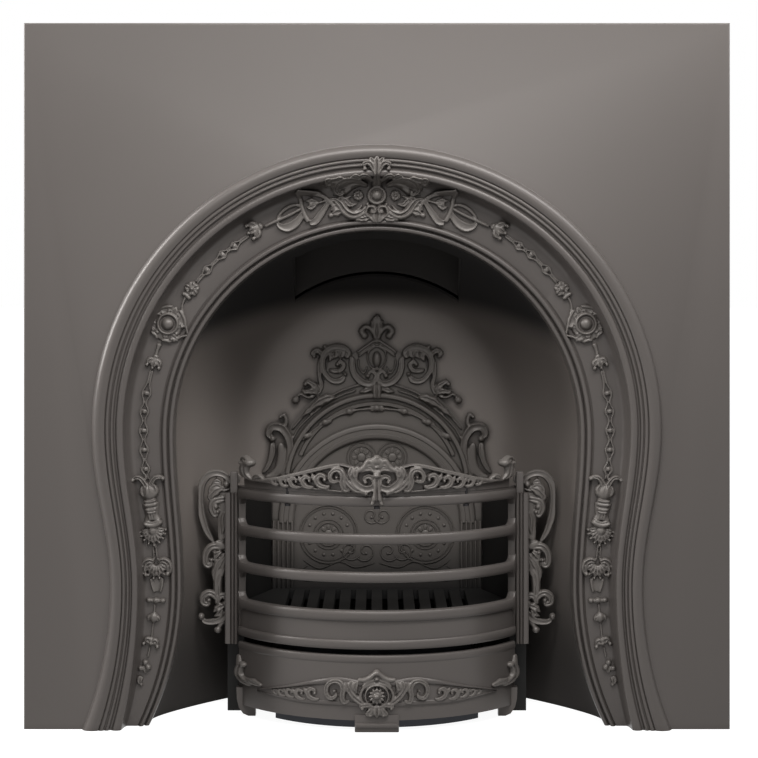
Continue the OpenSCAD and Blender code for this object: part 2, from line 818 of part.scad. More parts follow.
module right_side_cheek() {
    difference() {
        union() {
            linear_extrude(cheek_h) cheek_plan();
            translate([0, 0, grate_z - grate_t - seat - 8]) linear_extrude(8) ledge_plan();
        }
        for (z = hook_z)
            box([hook_x - hook_w / 2 - 1, cheek_front - 1, z - hook_h / 2 - seat],
                [hook_x + hook_w / 2 + 1, cheek_front + 7, z + hook_h / 2 + bars_lift + 1]);
        for (z = cheek_screw_z)
            rod_y(cheek_screw_d + 2 * screw_clear, cheek_screw_x, z, cheek_rear - 10, cheek_rear + 1);
    }
}
hook_x = cheek_toe_x - hook_w / 2 - 4;

module left_cheek() {
    color(iron) in_place() mirror([1, 0, 0]) right_side_cheek();
}

module right_cheek() {
    color(iron) in_place() right_side_cheek();
}

module cheek_screws() {
    color(steel) in_place() on_both_sides()
        for (z = cheek_screw_z) {
            rod_y(cheek_screw_d, cheek_screw_x, z, cheek_rear - 7, rear_reach - 2);
            rod_y(cheek_head_d, cheek_screw_x, z, cheek_rear - 9, cheek_rear - 6);
        }
}

module cheek_nuts() {
    color(steel) in_place() on_both_sides()
        for (z = cheek_screw_z) difference() {
            hex_y(8, cheek_screw_x, z, niche_depth + niche_t, niche_depth + niche_t + 5);
            rod_y(cheek_screw_d + 0.2, cheek_screw_x, z,
                  niche_depth + niche_t - 1, niche_depth + niche_t + 6);
        }
}

// ---- Front bars: bowed bars, fret and end posts ----

function sweep_angle(half) = asin(half / bow_r);
// Turns a section round the upright axis of the bow, to the same reach on both sides
module bowed(half) {
    a = sweep_angle(half);
    translate([0, bow_centre, 0]) rotate([0, 0, 270 - a]) rotate_extrude(angle = 2 * a, $fn = 96) children();
}

module bar_section(z, h, d) {
    translate([bow_r - h / 2, z]) circle(d = h, $fn = 32);
    translate([bow_r - d, z - h / 2]) square([d - h / 2, h]);
}

fret_top_z = top_bar_z - (bar_count - 1) * bar_pitch;
fret_bead_h = 13;
post_fillet_r = 3.6;
post_top_w = 10.5;
module front_bars() {
    color(iron) in_place() difference() {
        front_bars_blank();
        crest_screw_holes();
    }
}

module front_bars_blank() {
    union() {
        for (k = [0:bar_count - 1])
            bowed(basket_half) bar_section(top_bar_z - k * bar_pitch, bar_h, bar_d);
        bowed(basket_half) bar_section(fret_bead_z, fret_bead_h, bar_d);
        bowed(basket_half) translate([bow_r - 4 - fret_t, fret_bead_z])
            square([fret_t, fret_top_z - fret_bead_z]);
        bowed(basket_half)
            translate([bow_r - bar_d, top_bar_z]) square([bar_d - 3, bar_h / 2 + crest_base]);
        on_both_sides() {
            difference() {
                union() {
                    box([post_x, post_front, post_low_z], [post_x + post_w, post_rear, top_bar_z]);
                    box([post_x, post_front + 2, top_bar_z - 1],
                        [post_x + post_top_w, post_rear, post_high_z]);
                }
                for (z = wing_screw_z)
                    rod_y(small_screw_d + 2 * screw_clear, wing_screw_x, z, post_rear - 9, post_rear + 1);
            }
            for (x = [post_x + post_w / 2 - 3.7, post_x + post_w / 2 + 3.7])
                translate([x, post_front + 1, post_low_z + 1])
                    cylinder(r = post_fillet_r, h = top_bar_z - post_low_z - 2);
            for (z = hook_z) {
                box([hook_x - hook_w / 2, post_rear - 1, z - hook_h / 2],
                    [hook_x + hook_w / 2, cheek_front + 6 + seat + 6, z + hook_h / 2]);
                box([hook_x - hook_w / 2, cheek_front + 6 + seat, z - hook_h / 2 - 13],
                    [hook_x + hook_w / 2, cheek_front + 6 + seat + 6, z]);
            }
        }
    }
}
crest_base = 3;
wing_screw_z = [post_high_z - 108, post_high_z - 11];
wing_screw_x = post_x + 5;

// ---- Top crest: scrolled rail on the top bar ----

crest_z = top_bar_z + bar_h / 2 + crest_base + seat;
crest_t = 7;
crest_top_z = top_bar_z + crest_rise;
crest_half = post_x - 17;
function bump(x, centre, reach) = abs(x - centre) < reach ? (1 + cos(180 * (x - centre) / reach)) / 2 : 0;
// Height of the crest above its base, across the basket: two long leaves that rise to a hood in the middle
leaf_peak = 0.29 * crest_half;
leaf_end = 0.955 * crest_half;
function crest_height(x) =
    let (a = abs(x), slope = cos(180 * max(0, min(1, (a - leaf_peak) / (leaf_end - leaf_peak)))))
    (crest_top_z - crest_z) * (0.29 + 0.455 * (1 + slope) / 2 - 0.10 * bump(a, 20, 30) + 0.28 * bump(a, 0, 22)
                               + 0.06 * bump(a, crest_half, 9));
crest_scrolls = [[0.235, 0.27, 10], [0.40, 0.36, 9], [0.55, 0.28, 7], [0.67, 0.22, 5.5], [0.77, 0.18, 4.5]];
// Rolled leaf that stands up at each end, as shares of its height
end_roll_x = crest_half + 2;
end_roll_r = 5;
end_roll_rise = 38;

module crest_outline() {
    steps = 60;
    polygon(concat(
        [[-crest_half, crest_z - 5], [crest_half, crest_z - 5]],
        [for (k = [steps:-1:0])
            let (x = mix(-crest_half, crest_half, k / steps)) [x, crest_z + crest_height(x)]]
    ));
}

module crest_volute(x, z, r, proud) {
    y = bow_centre - sqrt(bow_r * bow_r - x * x);
    translate([x, y, z]) rotate([0, 0, asin(x / bow_r)]) rotate([90, 0, 0]) {
        translate([0, 0, -4]) cylinder(r = r, h = 4 + proud * 0.6);
        translate([0, 0, -4]) cylinder(r = r * 0.5, h = 4 + proud);
    }
}

module top_crest() {
    color(iron) in_place() difference() {
        top_crest_blank();
        crest_screw_holes();
    }
}

module top_crest_blank() {
    union() {
        intersection() {
            front_slab(-front_reach, post_rear) {
                crest_outline();
                on_both_sides() {
                    translate([end_roll_x - end_roll_r + 1, crest_z])
                        square([2 * end_roll_r - 2, end_roll_rise]);
                    translate([end_roll_x, crest_z + end_roll_rise]) circle(r = end_roll_r, $fn = 24);
                }
            }
            bowed(basket_half) translate([bow_r - crest_t, crest_z]) square([crest_t, crest_rise]);
        }
        on_both_sides()
            for (k = [0:len(crest_scrolls) - 1])
                let (at = crest_scrolls[k])
                crest_volute(at[0] * crest_half, mix(crest_z, crest_top_z, at[1]), at[2], 5 - 0.6 * k);
        crest_volute(0, crest_z + 14, 9, boss_proud * 0.6);
        // Flared drop that hangs just clear of the top bar's face
        difference() {
            translate([0, -bars_proud - seat, crest_z + 12]) rotate([180, 0, 0])
                cylinder(r1 = 4.5, r2 = 6.5, h = 30);
            box([-10, -bars_proud - seat, crest_z - 20], [10, -bars_proud + 20, crest_z]);
        }
        intersection() {
            translate([0, -bars_proud + 1, crest_z + 30]) sphere(r = boss_proud - 3);
            box([-20, -front_reach, crest_z + 2], [20, -bars_proud + crest_t / 2, crest_top_z]);
        }
    }
}

// Screws that come up through the top bar into the crest
crest_screw_d = 4;
crest_screw_spread = 33;
crest_screw_reach = 10;
module at_crest_screws() {
    translate([0, bow_centre, 0])
        for (k = [-1:1])
            rotate([0, 0, k * crest_screw_spread]) translate([0, -bow_r + crest_t / 2, 0]) children();
}

module crest_screw_holes() {
    at_crest_screws()
        translate([0, 0, top_bar_z - bar_h])
            cylinder(d = crest_screw_d + 2 * screw_clear,
                     h = crest_z + crest_screw_reach + 1 - top_bar_z + bar_h);
}

module crest_screws() {
    color(steel) in_place() at_crest_screws() {
        translate([0, 0, top_bar_z - bar_h / 2 - 1])
            cylinder(d = crest_screw_d, h = crest_z + crest_screw_reach - top_bar_z + bar_h / 2 + 1);
        translate([0, 0, top_bar_z - bar_h / 2 - 3]) cylinder(d = 8, h = 3);
    }
}

// ---- Side wings ----

// The outline and its piercings are drawn in shares of the wing's width and height
wing_root_x = post_x + post_w + seat;
// The wall of the niche closes in behind the arch, and the wing reaches out to a clearance from it
wing_widest_z = mix(wing_low_z, wing_high_z, 0.82);
wing_rear_share = (wing_y + wing_t - niche_front) / (niche_depth - niche_front);
wing_w = mix(leg_half(3, wing_widest_z), back_half, splay_share(wing_rear_share)) - wing_clear - wing_root_x;
function wing_share(p) = [wing_root_x + p[0] * wing_w, mix(wing_low_z, wing_high_z, p[1])];
function on_wing(points) = [for (p = points) wing_share(p)];
wing_foot_edge =
    on_wing([[-0.08, 0.09], [0.1, 0.07], [0.16, 0.02], [0.28, 0.0], [0.40, 0.025], [0.46, 0.06]]);
wing_sickle_edge = on_wing([[0.66, 0.055], [0.86, 0.065], [0.99, 0.10], [0.93, 0.145], [0.86, 0.16]]);
wing_volute_edge = on_wing([[0.92, 0.20], [0.86, 0.25], [0.68, 0.275], [0.52, 0.27], [0.46, 0.30]]);
wing_leaf_edge =
    on_wing([[0.56, 0.34], [0.6, 0.37], [0.74, 0.375], [0.88, 0.42], [0.88, 0.48], [0.75, 0.525]]);
wing_c_edge = on_wing([[0.6, 0.545], [0.74, 0.59], [0.92, 0.67], [1.0, 0.77], [1.0, 0.87], [0.86, 0.95]]);
wing_curl_edge = on_wing([[0.55, 0.995], [0.2, 1.0], [-0.1, 0.975], [-0.21, 0.93], [-0.08, 0.89]]);
wing_edges =
    concat(wing_foot_edge, wing_sickle_edge, wing_volute_edge, wing_leaf_edge, wing_c_edge, wing_curl_edge);
wing_crescent = on_wing([
    [0.46, 0.62], [0.62, 0.66], [0.74, 0.74], [0.76, 0.83], [0.66, 0.90], [0.46, 0.935],
    [0.3, 0.925], [0.5, 0.90], [0.6, 0.85], [0.54, 0.81], [0.58, 0.76], [0.54, 0.70]
]);
wing_gap = on_wing([[0.0, 0.42], [0.1, 0.385], [0.14, 0.32], [0.12, 0.26], [0.02, 0.25], [-0.02, 0.33]]);
wing_slot = on_wing([[0.34, 0.125], [0.5, 0.155], [0.68, 0.15], [0.78, 0.125], [0.6, 0.108], [0.45, 0.105]]);
// Raised eyes and balls of the scrolls: place as shares, then radius
wing_balls = [
    [-0.08, 0.93, 3.6], [0.7, 0.215, 5], [0.89, 0.107, 3.8],
    [0.28, 0.038, 3.6], [0.7, 0.45, 4.5], [0.2, 0.19, 4.5]
];

module wing_outline() {
    difference() {
        polygon(smooth_line(wing_edges));
        for (hole = [wing_crescent, wing_gap, wing_slot]) polygon(smooth_line(hole));
    }
}

wing_relief = 3;
wing_lug_h = 16;
module right_side_wing() {
    difference() {
        union() {
            front_slab(wing_y, wing_y + wing_t) {
                wing_outline();
                for (z = wing_screw_z)
                    translate([post_x + seat, z - wing_lug_h / 2]) square([post_w + 4, wing_lug_h]);
            }
            for (ball = wing_balls)
                let (at = wing_share(ball))
                rod_y(2 * ball[2], at[0], at[1], wing_y - wing_relief, wing_y + 1);
        }
        for (z = wing_screw_z)
            rod_y(small_screw_d + 2 * screw_clear, wing_screw_x, z, wing_y - 1, wing_y + wing_t + 1);
    }
}

module left_wing() {
    color(iron) in_place() mirror([1, 0, 0]) right_side_wing();
}

module right_wing() {
    color(iron) in_place() right_side_wing();
}

module wing_screws() {
    color(steel) in_place() on_both_sides()
        for (z = wing_screw_z) {
            rod_y(small_screw_d, wing_screw_x, z, post_rear - 7, wing_y + wing_t + 1);
            hex_y(10, wing_screw_x, z, wing_y + wing_t, wing_y + wing_t + 4);
        }
}

// ---- Bottom grate ----

grate_r = bow_r - bar_d - 6;
grate_rear = fb_front - 1;
module grate_plan(inset) {
    side_x = post_x - cheek_t - 2 - inset;
    heel_x = leg_outer - 3 - inset;
    intersection() {
        translate([0, bow_centre]) circle(r = grate_r - inset, $fn = 96);
        polygon([
            [-side_x, -bars_proud], [side_x, -bars_proud], [side_x, cheek_front - 2],
            [heel_x, grate_rear - inset], [-heel_x, grate_rear - inset], [-side_x, cheek_front - 2]
        ]);
    }
}

slat_pitch = slat_w + slat_gap;
grate_border = 13;
module bottom_grate() {
    slots = floor((post_x - cheek_t - 20 - grate_border) / slat_pitch);
    color(iron) in_place() translate([0, 0, grate_z - grate_t]) linear_extrude(grate_t) difference() {
        grate_plan(0);
        intersection() {
            grate_plan(grate_border);
            for (k = [-slots:slots - 1])
                translate([(k + 0.5) * slat_pitch - slat_gap / 2, -bars_proud])
                    square([slat_gap, niche_depth]);
        }
    }
}

// ---- Ash cover: bowed panel with a rim, a scrolled rail, scroll feet and a tab ----

ash_rim_h = 11;
foot_x = basket_half - 9;
foot_y = bow_centre - sqrt(bow_r * bow_r - foot_x * foot_x);
rail_z = 36;
function rail_height(x) =
    let (a = abs(x))
    8 + 20 * bump(a, 55, 60) + 8 * bump(a, 110, 60) + 22 * bump(a, 0, 30);

module ash_rail_outline() {
    steps = 60;
    reach = foot_x - 15;
    polygon(concat(
        [for (k = [0:steps]) let (x = mix(-reach, reach, k / steps)) [x, rail_z - 10 * bump(x, 0, 30)]],
        [for (k = [steps:-1:0]) let (x = mix(-reach, reach, k / steps)) [x, rail_z + 0.6 * rail_height(x)]]
    ));
}

module scroll_foot() {
    front_slab(foot_y - 12, foot_y + 2) {
        difference() {
            translate([foot_x - 21, 0]) square([26, 30]);
            translate([foot_x + 12, 0]) scale([1.05, 1.35]) circle(r = 20);
            translate([foot_x - 22, 13]) square([4, 20]);
        }
        translate([foot_x - 2, 58]) scale([0.75, 1.5]) circle(r = 9);
        translate([foot_x - 8, 24]) square([10, 40]);
    }
}

module ash_cover() {
    color(iron) in_place() {
        bowed(foot_x + 3) translate([bow_r - ash_cover_t - 1, ash_panel_z])
            square([ash_cover_t, ash_rim_z - ash_rim_h / 2 - ash_panel_z]);
        bowed(foot_x + 3) bar_section(ash_rim_z - ash_rim_h / 2, ash_rim_h, ash_cover_t + 3);
        intersection() {
            front_slab(-front_reach, post_rear) ash_rail_outline();
            bowed(foot_x) translate([bow_r - 3, 0]) square([8, ash_rim_z]);
        }
        crest_volute(0, rail_z + 9, 13, boss_proud);
        on_both_sides() crest_volute(52, rail_z + 6, 8, 6);
        on_both_sides() scroll_foot();
        // Tab with clipped lower corners
        front_slab(-bars_proud, -bars_proud + 8) polygon([
            [-tab_w / 2, ash_panel_z + 8], [-tab_w / 2, 3], [-tab_w / 2 + 3, 0],
            [tab_w / 2 - 3, 0], [tab_w / 2, 3], [tab_w / 2, ash_panel_z + 8]
        ]);
    }
}

// ---- Ash pan ----

pan_r = bow_r - ash_cover_t - 1 - handle_room;
pan_rear = cheek_rear - 28;
module pan_plan(inset) {
    intersection() {
        translate([0, bow_centre]) circle(r = pan_r - inset, $fn = 96);
        translate([-pan_half + inset, -bars_proud])
            square([2 * (pan_half - inset), pan_rear + bars_proud - inset]);
    }
}

pan_low_z = 0.3;
module ash_pan() {
    color(sheet) in_place() difference() {
        translate([0, 0, pan_low_z]) linear_extrude(pan_h) pan_plan(0);
        translate([0, 0, pan_low_z + pan_t]) linear_extrude(pan_h) pan_plan(pan_t);
        for (x = [-1, 1] * handle_span / 2)
            rod_y(5 + 0.2, x, handle_z, bow_centre - pan_r - 5, bow_centre - pan_r + 12);
    }
}
handle_span = 70;
handle_z = pan_h - 22;
handle_drop = handle_room - handle_wire - 6;

module ash_pan_handle() {
    face = bow_centre - pan_r;
    side = handle_span / 2;
    pad_y = bow_centre - sqrt(pow(pan_r, 2) - side * side) - 0.2;
    color(steel) in_place() {
        on_both_sides() {
            rod_y(12, side, handle_z, pad_y - 4 - 1.5, pad_y - 1.5);
            rod_y(handle_wire, side, handle_z, face - handle_drop, pad_y - 2);
        }
        translate([-side, face - handle_drop, handle_z]) rotate([0, 90, 0])
            cylinder(d = handle_wire, h = 2 * side);
        on_both_sides() translate([side, face - handle_drop, handle_z]) sphere(d = handle_wire + 0.8);
    }
}

module handle_rivets() {
    side = handle_span / 2;
    pad_y = bow_centre - sqrt(pow(pan_r, 2) - side * side) - 0.2;
    color(steel) in_place() on_both_sides() {
        rod_y(5, side, handle_z, pad_y - 1.5, pad_y + pan_t + 6);
        rod_y(9, side, handle_z, pad_y + pan_t + 4, pad_y + pan_t + 6.5);
    }
}

fascia();
niche();
niche_screws();
throat_frame();
frame_screws();
frame_nuts();
damper_flap();
damper_pin();
damper_eye();
fireback();
fireback_nuts();
left_cheek();
right_cheek();
cheek_screws();
cheek_nuts();
front_bars();
top_crest();
crest_screws();
left_wing();
right_wing();
wing_screws();
bottom_grate();
ash_cover();
ash_pan();
ash_pan_handle();
handle_rivets();
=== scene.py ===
import math

import bmesh
import bpy
from mathutils import Matrix, Vector


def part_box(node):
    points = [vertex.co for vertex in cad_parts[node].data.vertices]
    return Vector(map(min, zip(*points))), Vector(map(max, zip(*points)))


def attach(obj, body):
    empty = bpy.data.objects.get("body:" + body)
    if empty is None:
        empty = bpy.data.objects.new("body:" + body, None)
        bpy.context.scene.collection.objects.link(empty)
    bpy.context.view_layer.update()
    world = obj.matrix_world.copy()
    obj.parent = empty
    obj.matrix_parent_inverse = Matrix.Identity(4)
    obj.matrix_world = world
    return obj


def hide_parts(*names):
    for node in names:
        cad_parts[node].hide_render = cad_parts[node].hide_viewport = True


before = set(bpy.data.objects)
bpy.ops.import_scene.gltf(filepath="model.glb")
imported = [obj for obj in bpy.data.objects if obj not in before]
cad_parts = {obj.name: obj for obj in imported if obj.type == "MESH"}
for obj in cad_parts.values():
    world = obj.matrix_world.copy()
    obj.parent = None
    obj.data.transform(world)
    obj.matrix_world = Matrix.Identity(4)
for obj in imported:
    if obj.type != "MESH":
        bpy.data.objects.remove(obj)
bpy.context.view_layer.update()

# Lengths are in millimetres, as on a pattern maker's drawing, and place() turns them to metres.
# A place is (x, depth, z): depth is measured back from the face of the front plate.
MM = 0.001
WELD = 0.001 * MM

# ---- Sizes of the castings ----

PLATE_HALF = 482.5
PLATE_TOP = 965.0
PLATE_T = 6.0
RIM_DEPTH = 26.0
RIM_T = 6.0
EDGE_ROUND = 2.5

# The arch has four guide lines: its outer edge, the band's outer and inner edges, and the opening
ARCH_HALF = (386.0, 345.0, 297.5, 281.0)
ARCH_CENTRE = (409.0, 409.0, 401.0, 401.0)
WAIST_HALF = (361.0, 325.0, 285.0, 270.0)
FOOT_HALF = (398.0, 348.0, 329.0, 314.0)
WAIST_Z = 193.0
ROLL_PROUD = 12.0
BAND_DEPTH = 20.0
OPENING_DEPTH = 62.0
MOULD_WALL = 7.0

NICHE_DEPTH = 235.0
NICHE_T = 5.0
BACK_HALF = 178.0
BACK_CROWN_Z = 590.0

BOW_R = 229.0
BARS_PROUD = 20.0
BOW_CENTRE = BOW_R - BARS_PROUD

PLATE_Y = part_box("fascia")[1].y - OPENING_DEPTH * MM


def place(x, depth, z):
    """A place on the drawing, in metres."""
    return Vector((x * MM, PLATE_Y + depth * MM, z * MM))


def mix(a, b, t):
    """Between a (t = 0) and b (t = 1)."""
    return a + (b - a) * t


# ---- Mesh tools ----

def shaped_grid(bm, columns, rows, surface):
    """Lays a grid over a surface: its point (u, v), each from 0 to 1, goes to surface(u, v)."""
    grid = bmesh.ops.create_grid(bm, x_segments=columns, y_segments=rows, size=0.5)["verts"]
    for vert in grid:
        vert.co = surface(vert.co.x + 0.5, vert.co.y + 0.5)
    return grid


def swept(bm, stations, section, lay):
    """Carries a section along a form: at each share of the way its points go to lay(share, point)."""
    last = len(section) - 1
    shaped_grid(bm, stations, last, lambda u, v: lay(u, section[round(v * last)]))


def straight(bm, section, lay):
    """The same from one end (share 0) straight to the other (share 1)."""
    last = len(section) - 1
    shaped_grid(bm, last, 1, lambda u, v: lay(v, section[round(u * last)]))


def merged(bm):
    """Welds the points where the parts of a form meet."""
    bmesh.ops.remove_doubles(bm, verts=bm.verts, dist=WELD)


def closed(bm):
    """Welds a form's parts and fills its open ends."""
    merged(bm)
    bmesh.ops.holes_fill(bm, edges=[edge for edge in bm.edges if edge.is_boundary])


def pulled(bm, faces, shift):
    """Gives flat faces a thickness by pulling a copy of them out."""
    made = bmesh.ops.extrude_face_region(bm, geom=faces)["geom"]
    bmesh.ops.translate(bm, vec=shift, verts=[part for part in made if isinstance(part, bmesh.types.BMVert)])


def box(bm, low, high, rounding=0.0):
    """A block between two corners, given as places, with rounded edges."""
    made = bmesh.ops.create_cube(bm, size=1.0)["verts"]
    a, b = place(*low), place(*high)
    for vert in made:
        vert.co = Vector(mix(a[k], b[k], vert.co[k] + 0.5) for k in range(3))
    if rounding:
        edges = list({edge for vert in made for edge in vert.link_edges})
        bmesh.ops.bevel(bm, geom=edges, offset=rounding * MM, segments=2, profile=0.5, affect="EDGES",
                        material=-1)


def turned(bm, profile, x, z, steps=32, base=0.0):
    """Spins a profile of (radius, depth) points about a line along the depth, at (x, z)."""
    verts = [bm.verts.new(place(x + radius, base + depth, z)) for radius, depth in profile]
    edges = [bm.edges.new(pair) for pair in zip(verts, verts[1:])]
    bmesh.ops.spin(bm, geom=verts + edges, cent=place(x, 0, z), axis=(0, 1, 0),
                   angle=math.tau, steps=steps, use_merge=True)


def mirrored(bm):
    """Adds the left-hand half of what is drawn on the right."""
    geometry = bm.verts[:] + bm.edges[:] + bm.faces[:]
    bmesh.ops.mirror(bm, geom=geometry, matrix=Matrix.Identity(4), merge_dist=-1, axis="X")


def piece(name, bm, material, body="root", crease=35.0):
    """Turns a bmesh into a finished piece that rides on its body."""
    merged(bm)
    bmesh.ops.recalc_face_normals(bm, faces=bm.faces)
    mesh = bpy.data.meshes.new(name)
    bm.to_mesh(mesh)
    bm.free()
    mesh.shade_smooth()
    mesh.set_sharp_from_angle(angle=math.radians(crease))
    made = bpy.data.objects.new(name, mesh)
    bpy.context.scene.collection.objects.link(made)
    mesh.materials.append(material)
    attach(made, body)
    return made


def settle(made):
    """Applies a piece's modifiers to its mesh."""
    bpy.context.view_layer.update()
    result = bpy.data.meshes.new_from_object(made.evaluated_get(bpy.context.evaluated_depsgraph_get()))
    old = made.data
    result.name = old.name
    made.modifiers.clear()
    made.data = result
    bpy.data.meshes.remove(old)


def cut_shape(made, cutter):
    """Cuts one closed form out of a finished piece."""
    mesh = bpy.data.meshes.new("cutter")
    cutter.to_mesh(mesh)
    cutter.free()
    tool = bpy.data.objects.new("cutter", mesh)
    bpy.context.scene.collection.objects.link(tool)
    modifier = made.modifiers.new("cut", "BOOLEAN")
    modifier.object = tool
    modifier.solver = "EXACT"
    settle(made)
    bpy.data.objects.remove(tool)
    bpy.data.meshes.remove(mesh)


def finish_where(made, material, chosen):
    """Gives the chosen faces of a piece a finish of their own."""
    made.data.materials.append(material)
    for face in made.data.polygons:
        if chosen(face.center, face.normal):
            face.material_index = len(made.data.materials) - 1


# ---- Relief: ornament drawn flat and laid on a casting ----

def spline_point(points, t):
    """A smooth curve through its points, at t from 0 to 1."""
    last = len(points) - 1
    k = min(int(t * last), last - 1)
    s = t * last - k
    a, b = Vector(points[k]), Vector(points[k + 1])
    before = Vector(points[k - 1]) if k else 2 * a - b
    after = Vector(points[k + 2]) if k + 2 <= last else 2 * b - a
    return 0.5 * (2 * a + (b - before) * s + (2 * before - 5 * a + 4 * b - after) * s ** 2
                  + (3 * a - before - 3 * b + after) * s ** 3)


def along(values, t):
    """A value that changes evenly along a form, from a single number or a list of them."""
    if not isinstance(values, (list, tuple)):
        return values
    last = len(values) - 1
    k = min(int(t * last), last - 1)
    return mix(values[k], values[k + 1], t * last - k)


def spiral(x, z, r0, r1, start, stop, steps=12):
    """Points of a scroll about (x, z), from radius r0 at one angle to r1 at another, in degrees."""
    return [(x + mix(r0, r1, k / steps) * math.cos(math.radians(mix(start, stop, k / steps))),
             z + mix(r0, r1, k / steps) * math.sin(math.radians(mix(start, stop, k / steps))))
            for k in range(steps + 1)]


def form_round(s):
    """A half-round section."""
    return math.sqrt(max(0.0, 1 - s * s))


def form_leaf(s):
    """A leaf's section: two swelling halves with a vein cut between them."""
    return form_round(s) * (1 - 0.5 * math.exp(-(s / 0.22) ** 2))


def form_channel(s):
    """A strap with a raised border and a sunk middle."""
    return form_round(s * 0.98) ** 0.5 * (0.55 + 0.45 * min(1.0, abs(s) / 0.62) ** 3)


def form_plateau(s):
    """A flat cut-out leaf of metal with a rounded edge."""
    return min(1.0, 2.2 * math.sqrt(max(0.0, 1 - s * s)))


class Relief:
    """Raised ornament. A form is drawn as (across, up) points with a height that stands out of the
    casting, all in millimetres, and lay() puts each drawn point on the casting's own surface. Its
    back sinks into the casting, and fuller makes all its forms that much wider."""

    def __init__(self, lay, fuller=1.3, sink=1.6):
        self.bm = bmesh.new()
        self.lay = lay
        self.fuller = fuller
        self.sink = sink
        self.at(0, 0)

    def at(self, x, z, turn=0.0, size=1.0):
        """Later forms are drawn about this spot, turned anticlockwise in degrees."""
        self.spot = (x, z, math.cos(math.radians(turn)) * size, math.sin(math.radians(turn)) * size)
        self.size = size

    def point(self, x, z, height):
        x0, z0, c, s = self.spot
        return self.lay(x0 + c * x - s * z, z0 + s * x + c * z, height * self.size)

    def strap(self, path, widths, heights, form=form_round, ends=(0.12, 0.12), steps=0, sides=8, base=0.0):
        """A tapered form along a smooth path. Each end closes over its share of the length."""
        steps = steps or 5 * (len(path) - 1) + 4

        def surface(u, v):
            here = spline_point(path, u)
            way = spline_point(path, min(1.0, u + 0.01)) - spline_point(path, max(0.0, u - 0.01))
            way.normalize()
            close = 1.0
            for gone, share in ((u, ends[0]), (1 - u, ends[1])):
                if share and gone < share:
                    close *= math.sqrt(max(0.0, 1 - (1 - gone / share) ** 2))
            top = v <= 0.75
            s = mix(-1, 1, v / 0.75) if top else mix(1, -1, (v - 0.75) / 0.25)
            width = along(widths, u) * self.fuller * close * s
            rise = base + along(heights, u) * close * form(s) if top else -self.sink
            if abs(s) > 0.999:
                rise = base - 0.4
            return self.point(here.x - way.y * width, here.y + way.x * width, rise)

        sides += (-sides) % 4
        shaped_grid(self.bm, steps, sides, surface)

    def ball(self, x, z, rx, height, rz=None, base=0.0):
        """A boss or a bead, half sunk in the casting."""
        rx, rz = rx * self.fuller ** 0.5, (rz or rx) * self.fuller ** 0.5
        made = bmesh.ops.create_uvsphere(self.bm, u_segments=16, v_segments=10, radius=1.0)["verts"]
        for vert in made:
            vert.co = self.point(x + vert.co.x * rx, z + vert.co.y * rz, base + vert.co.z * height)

    def ring(self, x, z, radius, width, height, rz=None, base=0.0):
        """A closed round or oval strap."""
        rz = rz or radius
        path = [(x + radius * math.cos(math.tau * k / 12),
                 z + rz * math.sin(math.tau * k / 12)) for k in range(13)]
        self.strap(path, width, height, ends=(0, 0), steps=36, base=base)

    def leaf(self, path, width, height, lobes=0, base=0.0):
        """A pointed leaf; lobes cut its edge into so many curled tips."""
        count = 14
        widths = []
        for k in range(count + 1):
            u = k / count
            swell = math.sin(math.pi * min(1.0, u ** 0.75 + 0.02)) ** 0.8 if u < 1 else 0.0
            cut = 1 - 0.32 * abs(math.sin(math.pi * lobes * u)) if lobes else 1.0
            widths.append(max(0.12, swell * cut) * width)
        self.strap(path, widths, [height * 0.7, height, height, height * 0.5], form_leaf, (0.08, 0.1), 20,
                   12, base)

    def volute(self, path, widths, heights, eye, form=form_round):
        """A scroll that ends in a round eye."""
        self.strap(path, widths, heights, form)
        last = path[-1]
        peak = heights[-1] if isinstance(heights, (list, tuple)) else heights
        self.ball(last[0], last[1], eye, peak * 1.25)

    def petals(self, x, z, inner, outer, count, width, height, start=90.0):
        """Petals round a middle, from an inner to an outer radius."""
        for k in range(count):
            a = math.radians(start + 360.0 * k / count)
            path = [(x + r * math.cos(a), z + r * math.sin(a)) for r in (inner, (inner + outer) / 2, outer)]
            self.strap(path, [width * 0.5, width, width * 0.7], [height * 0.8, height, height * 0.7],
                       form_leaf, (0.1, 0.3))

    def finish(self, name, material, voxel, symmetric=True, body="root"):
        """Runs the forms together as one casting: a fine skin over all of them, then softened."""
        if symmetric:
            mirrored(self.bm)
        made = piece(name, self.bm, material, body, crease=60.0)
        skin = made.modifiers.new("skin", "REMESH")
        skin.mode = "VOXEL"
        skin.voxel_size = voxel * MM
        soften = made.modifiers.new("soften", "SMOOTH")
        soften.factor = 0.5
        soften.iterations = 2
        fewer = made.modifiers.new("fewer", "DECIMATE")
        fewer.ratio = 0.5
        settle(made)
        made.data.shade_smooth()
        return made


# ---- Materials ----

def linear(hex_colour):
    """An sRGB hex colour as linear red, green, blue and alpha."""
    parts = [int(hex_colour[k:k + 2], 16) / 255 for k in (1, 3, 5)]
    return [p / 12.92 if p <= 0.04045 else ((p + 0.055) / 1.055) ** 2.4 for p in parts] + [1.0]


def wire(tree, made, inputs):
    """Links a node's inputs, or sets their values, by name."""
    for socket, value in inputs.items():
        if isinstance(value, bpy.types.NodeSocket):
            tree.links.new(value, made.inputs[socket])
        else:
            made.inputs[socket].default_value = value


def node(tree, kind, inputs=None, **settings):
    """Adds a node; settings are its properties, and inputs its links or values."""
    made = tree.nodes.new(kind)
    for name, value in settings.items():
        setattr(made, name, value)
    wire(tree, made, inputs or {})
    return made


def new_material(name):
    """A material with its node tree and its shader."""
    material = bpy.data.materials.new(name)
    material.use_nodes = True
    tree = material.node_tree
    shader = tree.nodes["Principled BSDF"]
    return material, tree, shader


def per_metre(size_mm):
    """The scale at which a pattern repeats about every size_mm."""
    return 1000.0 / size_mm


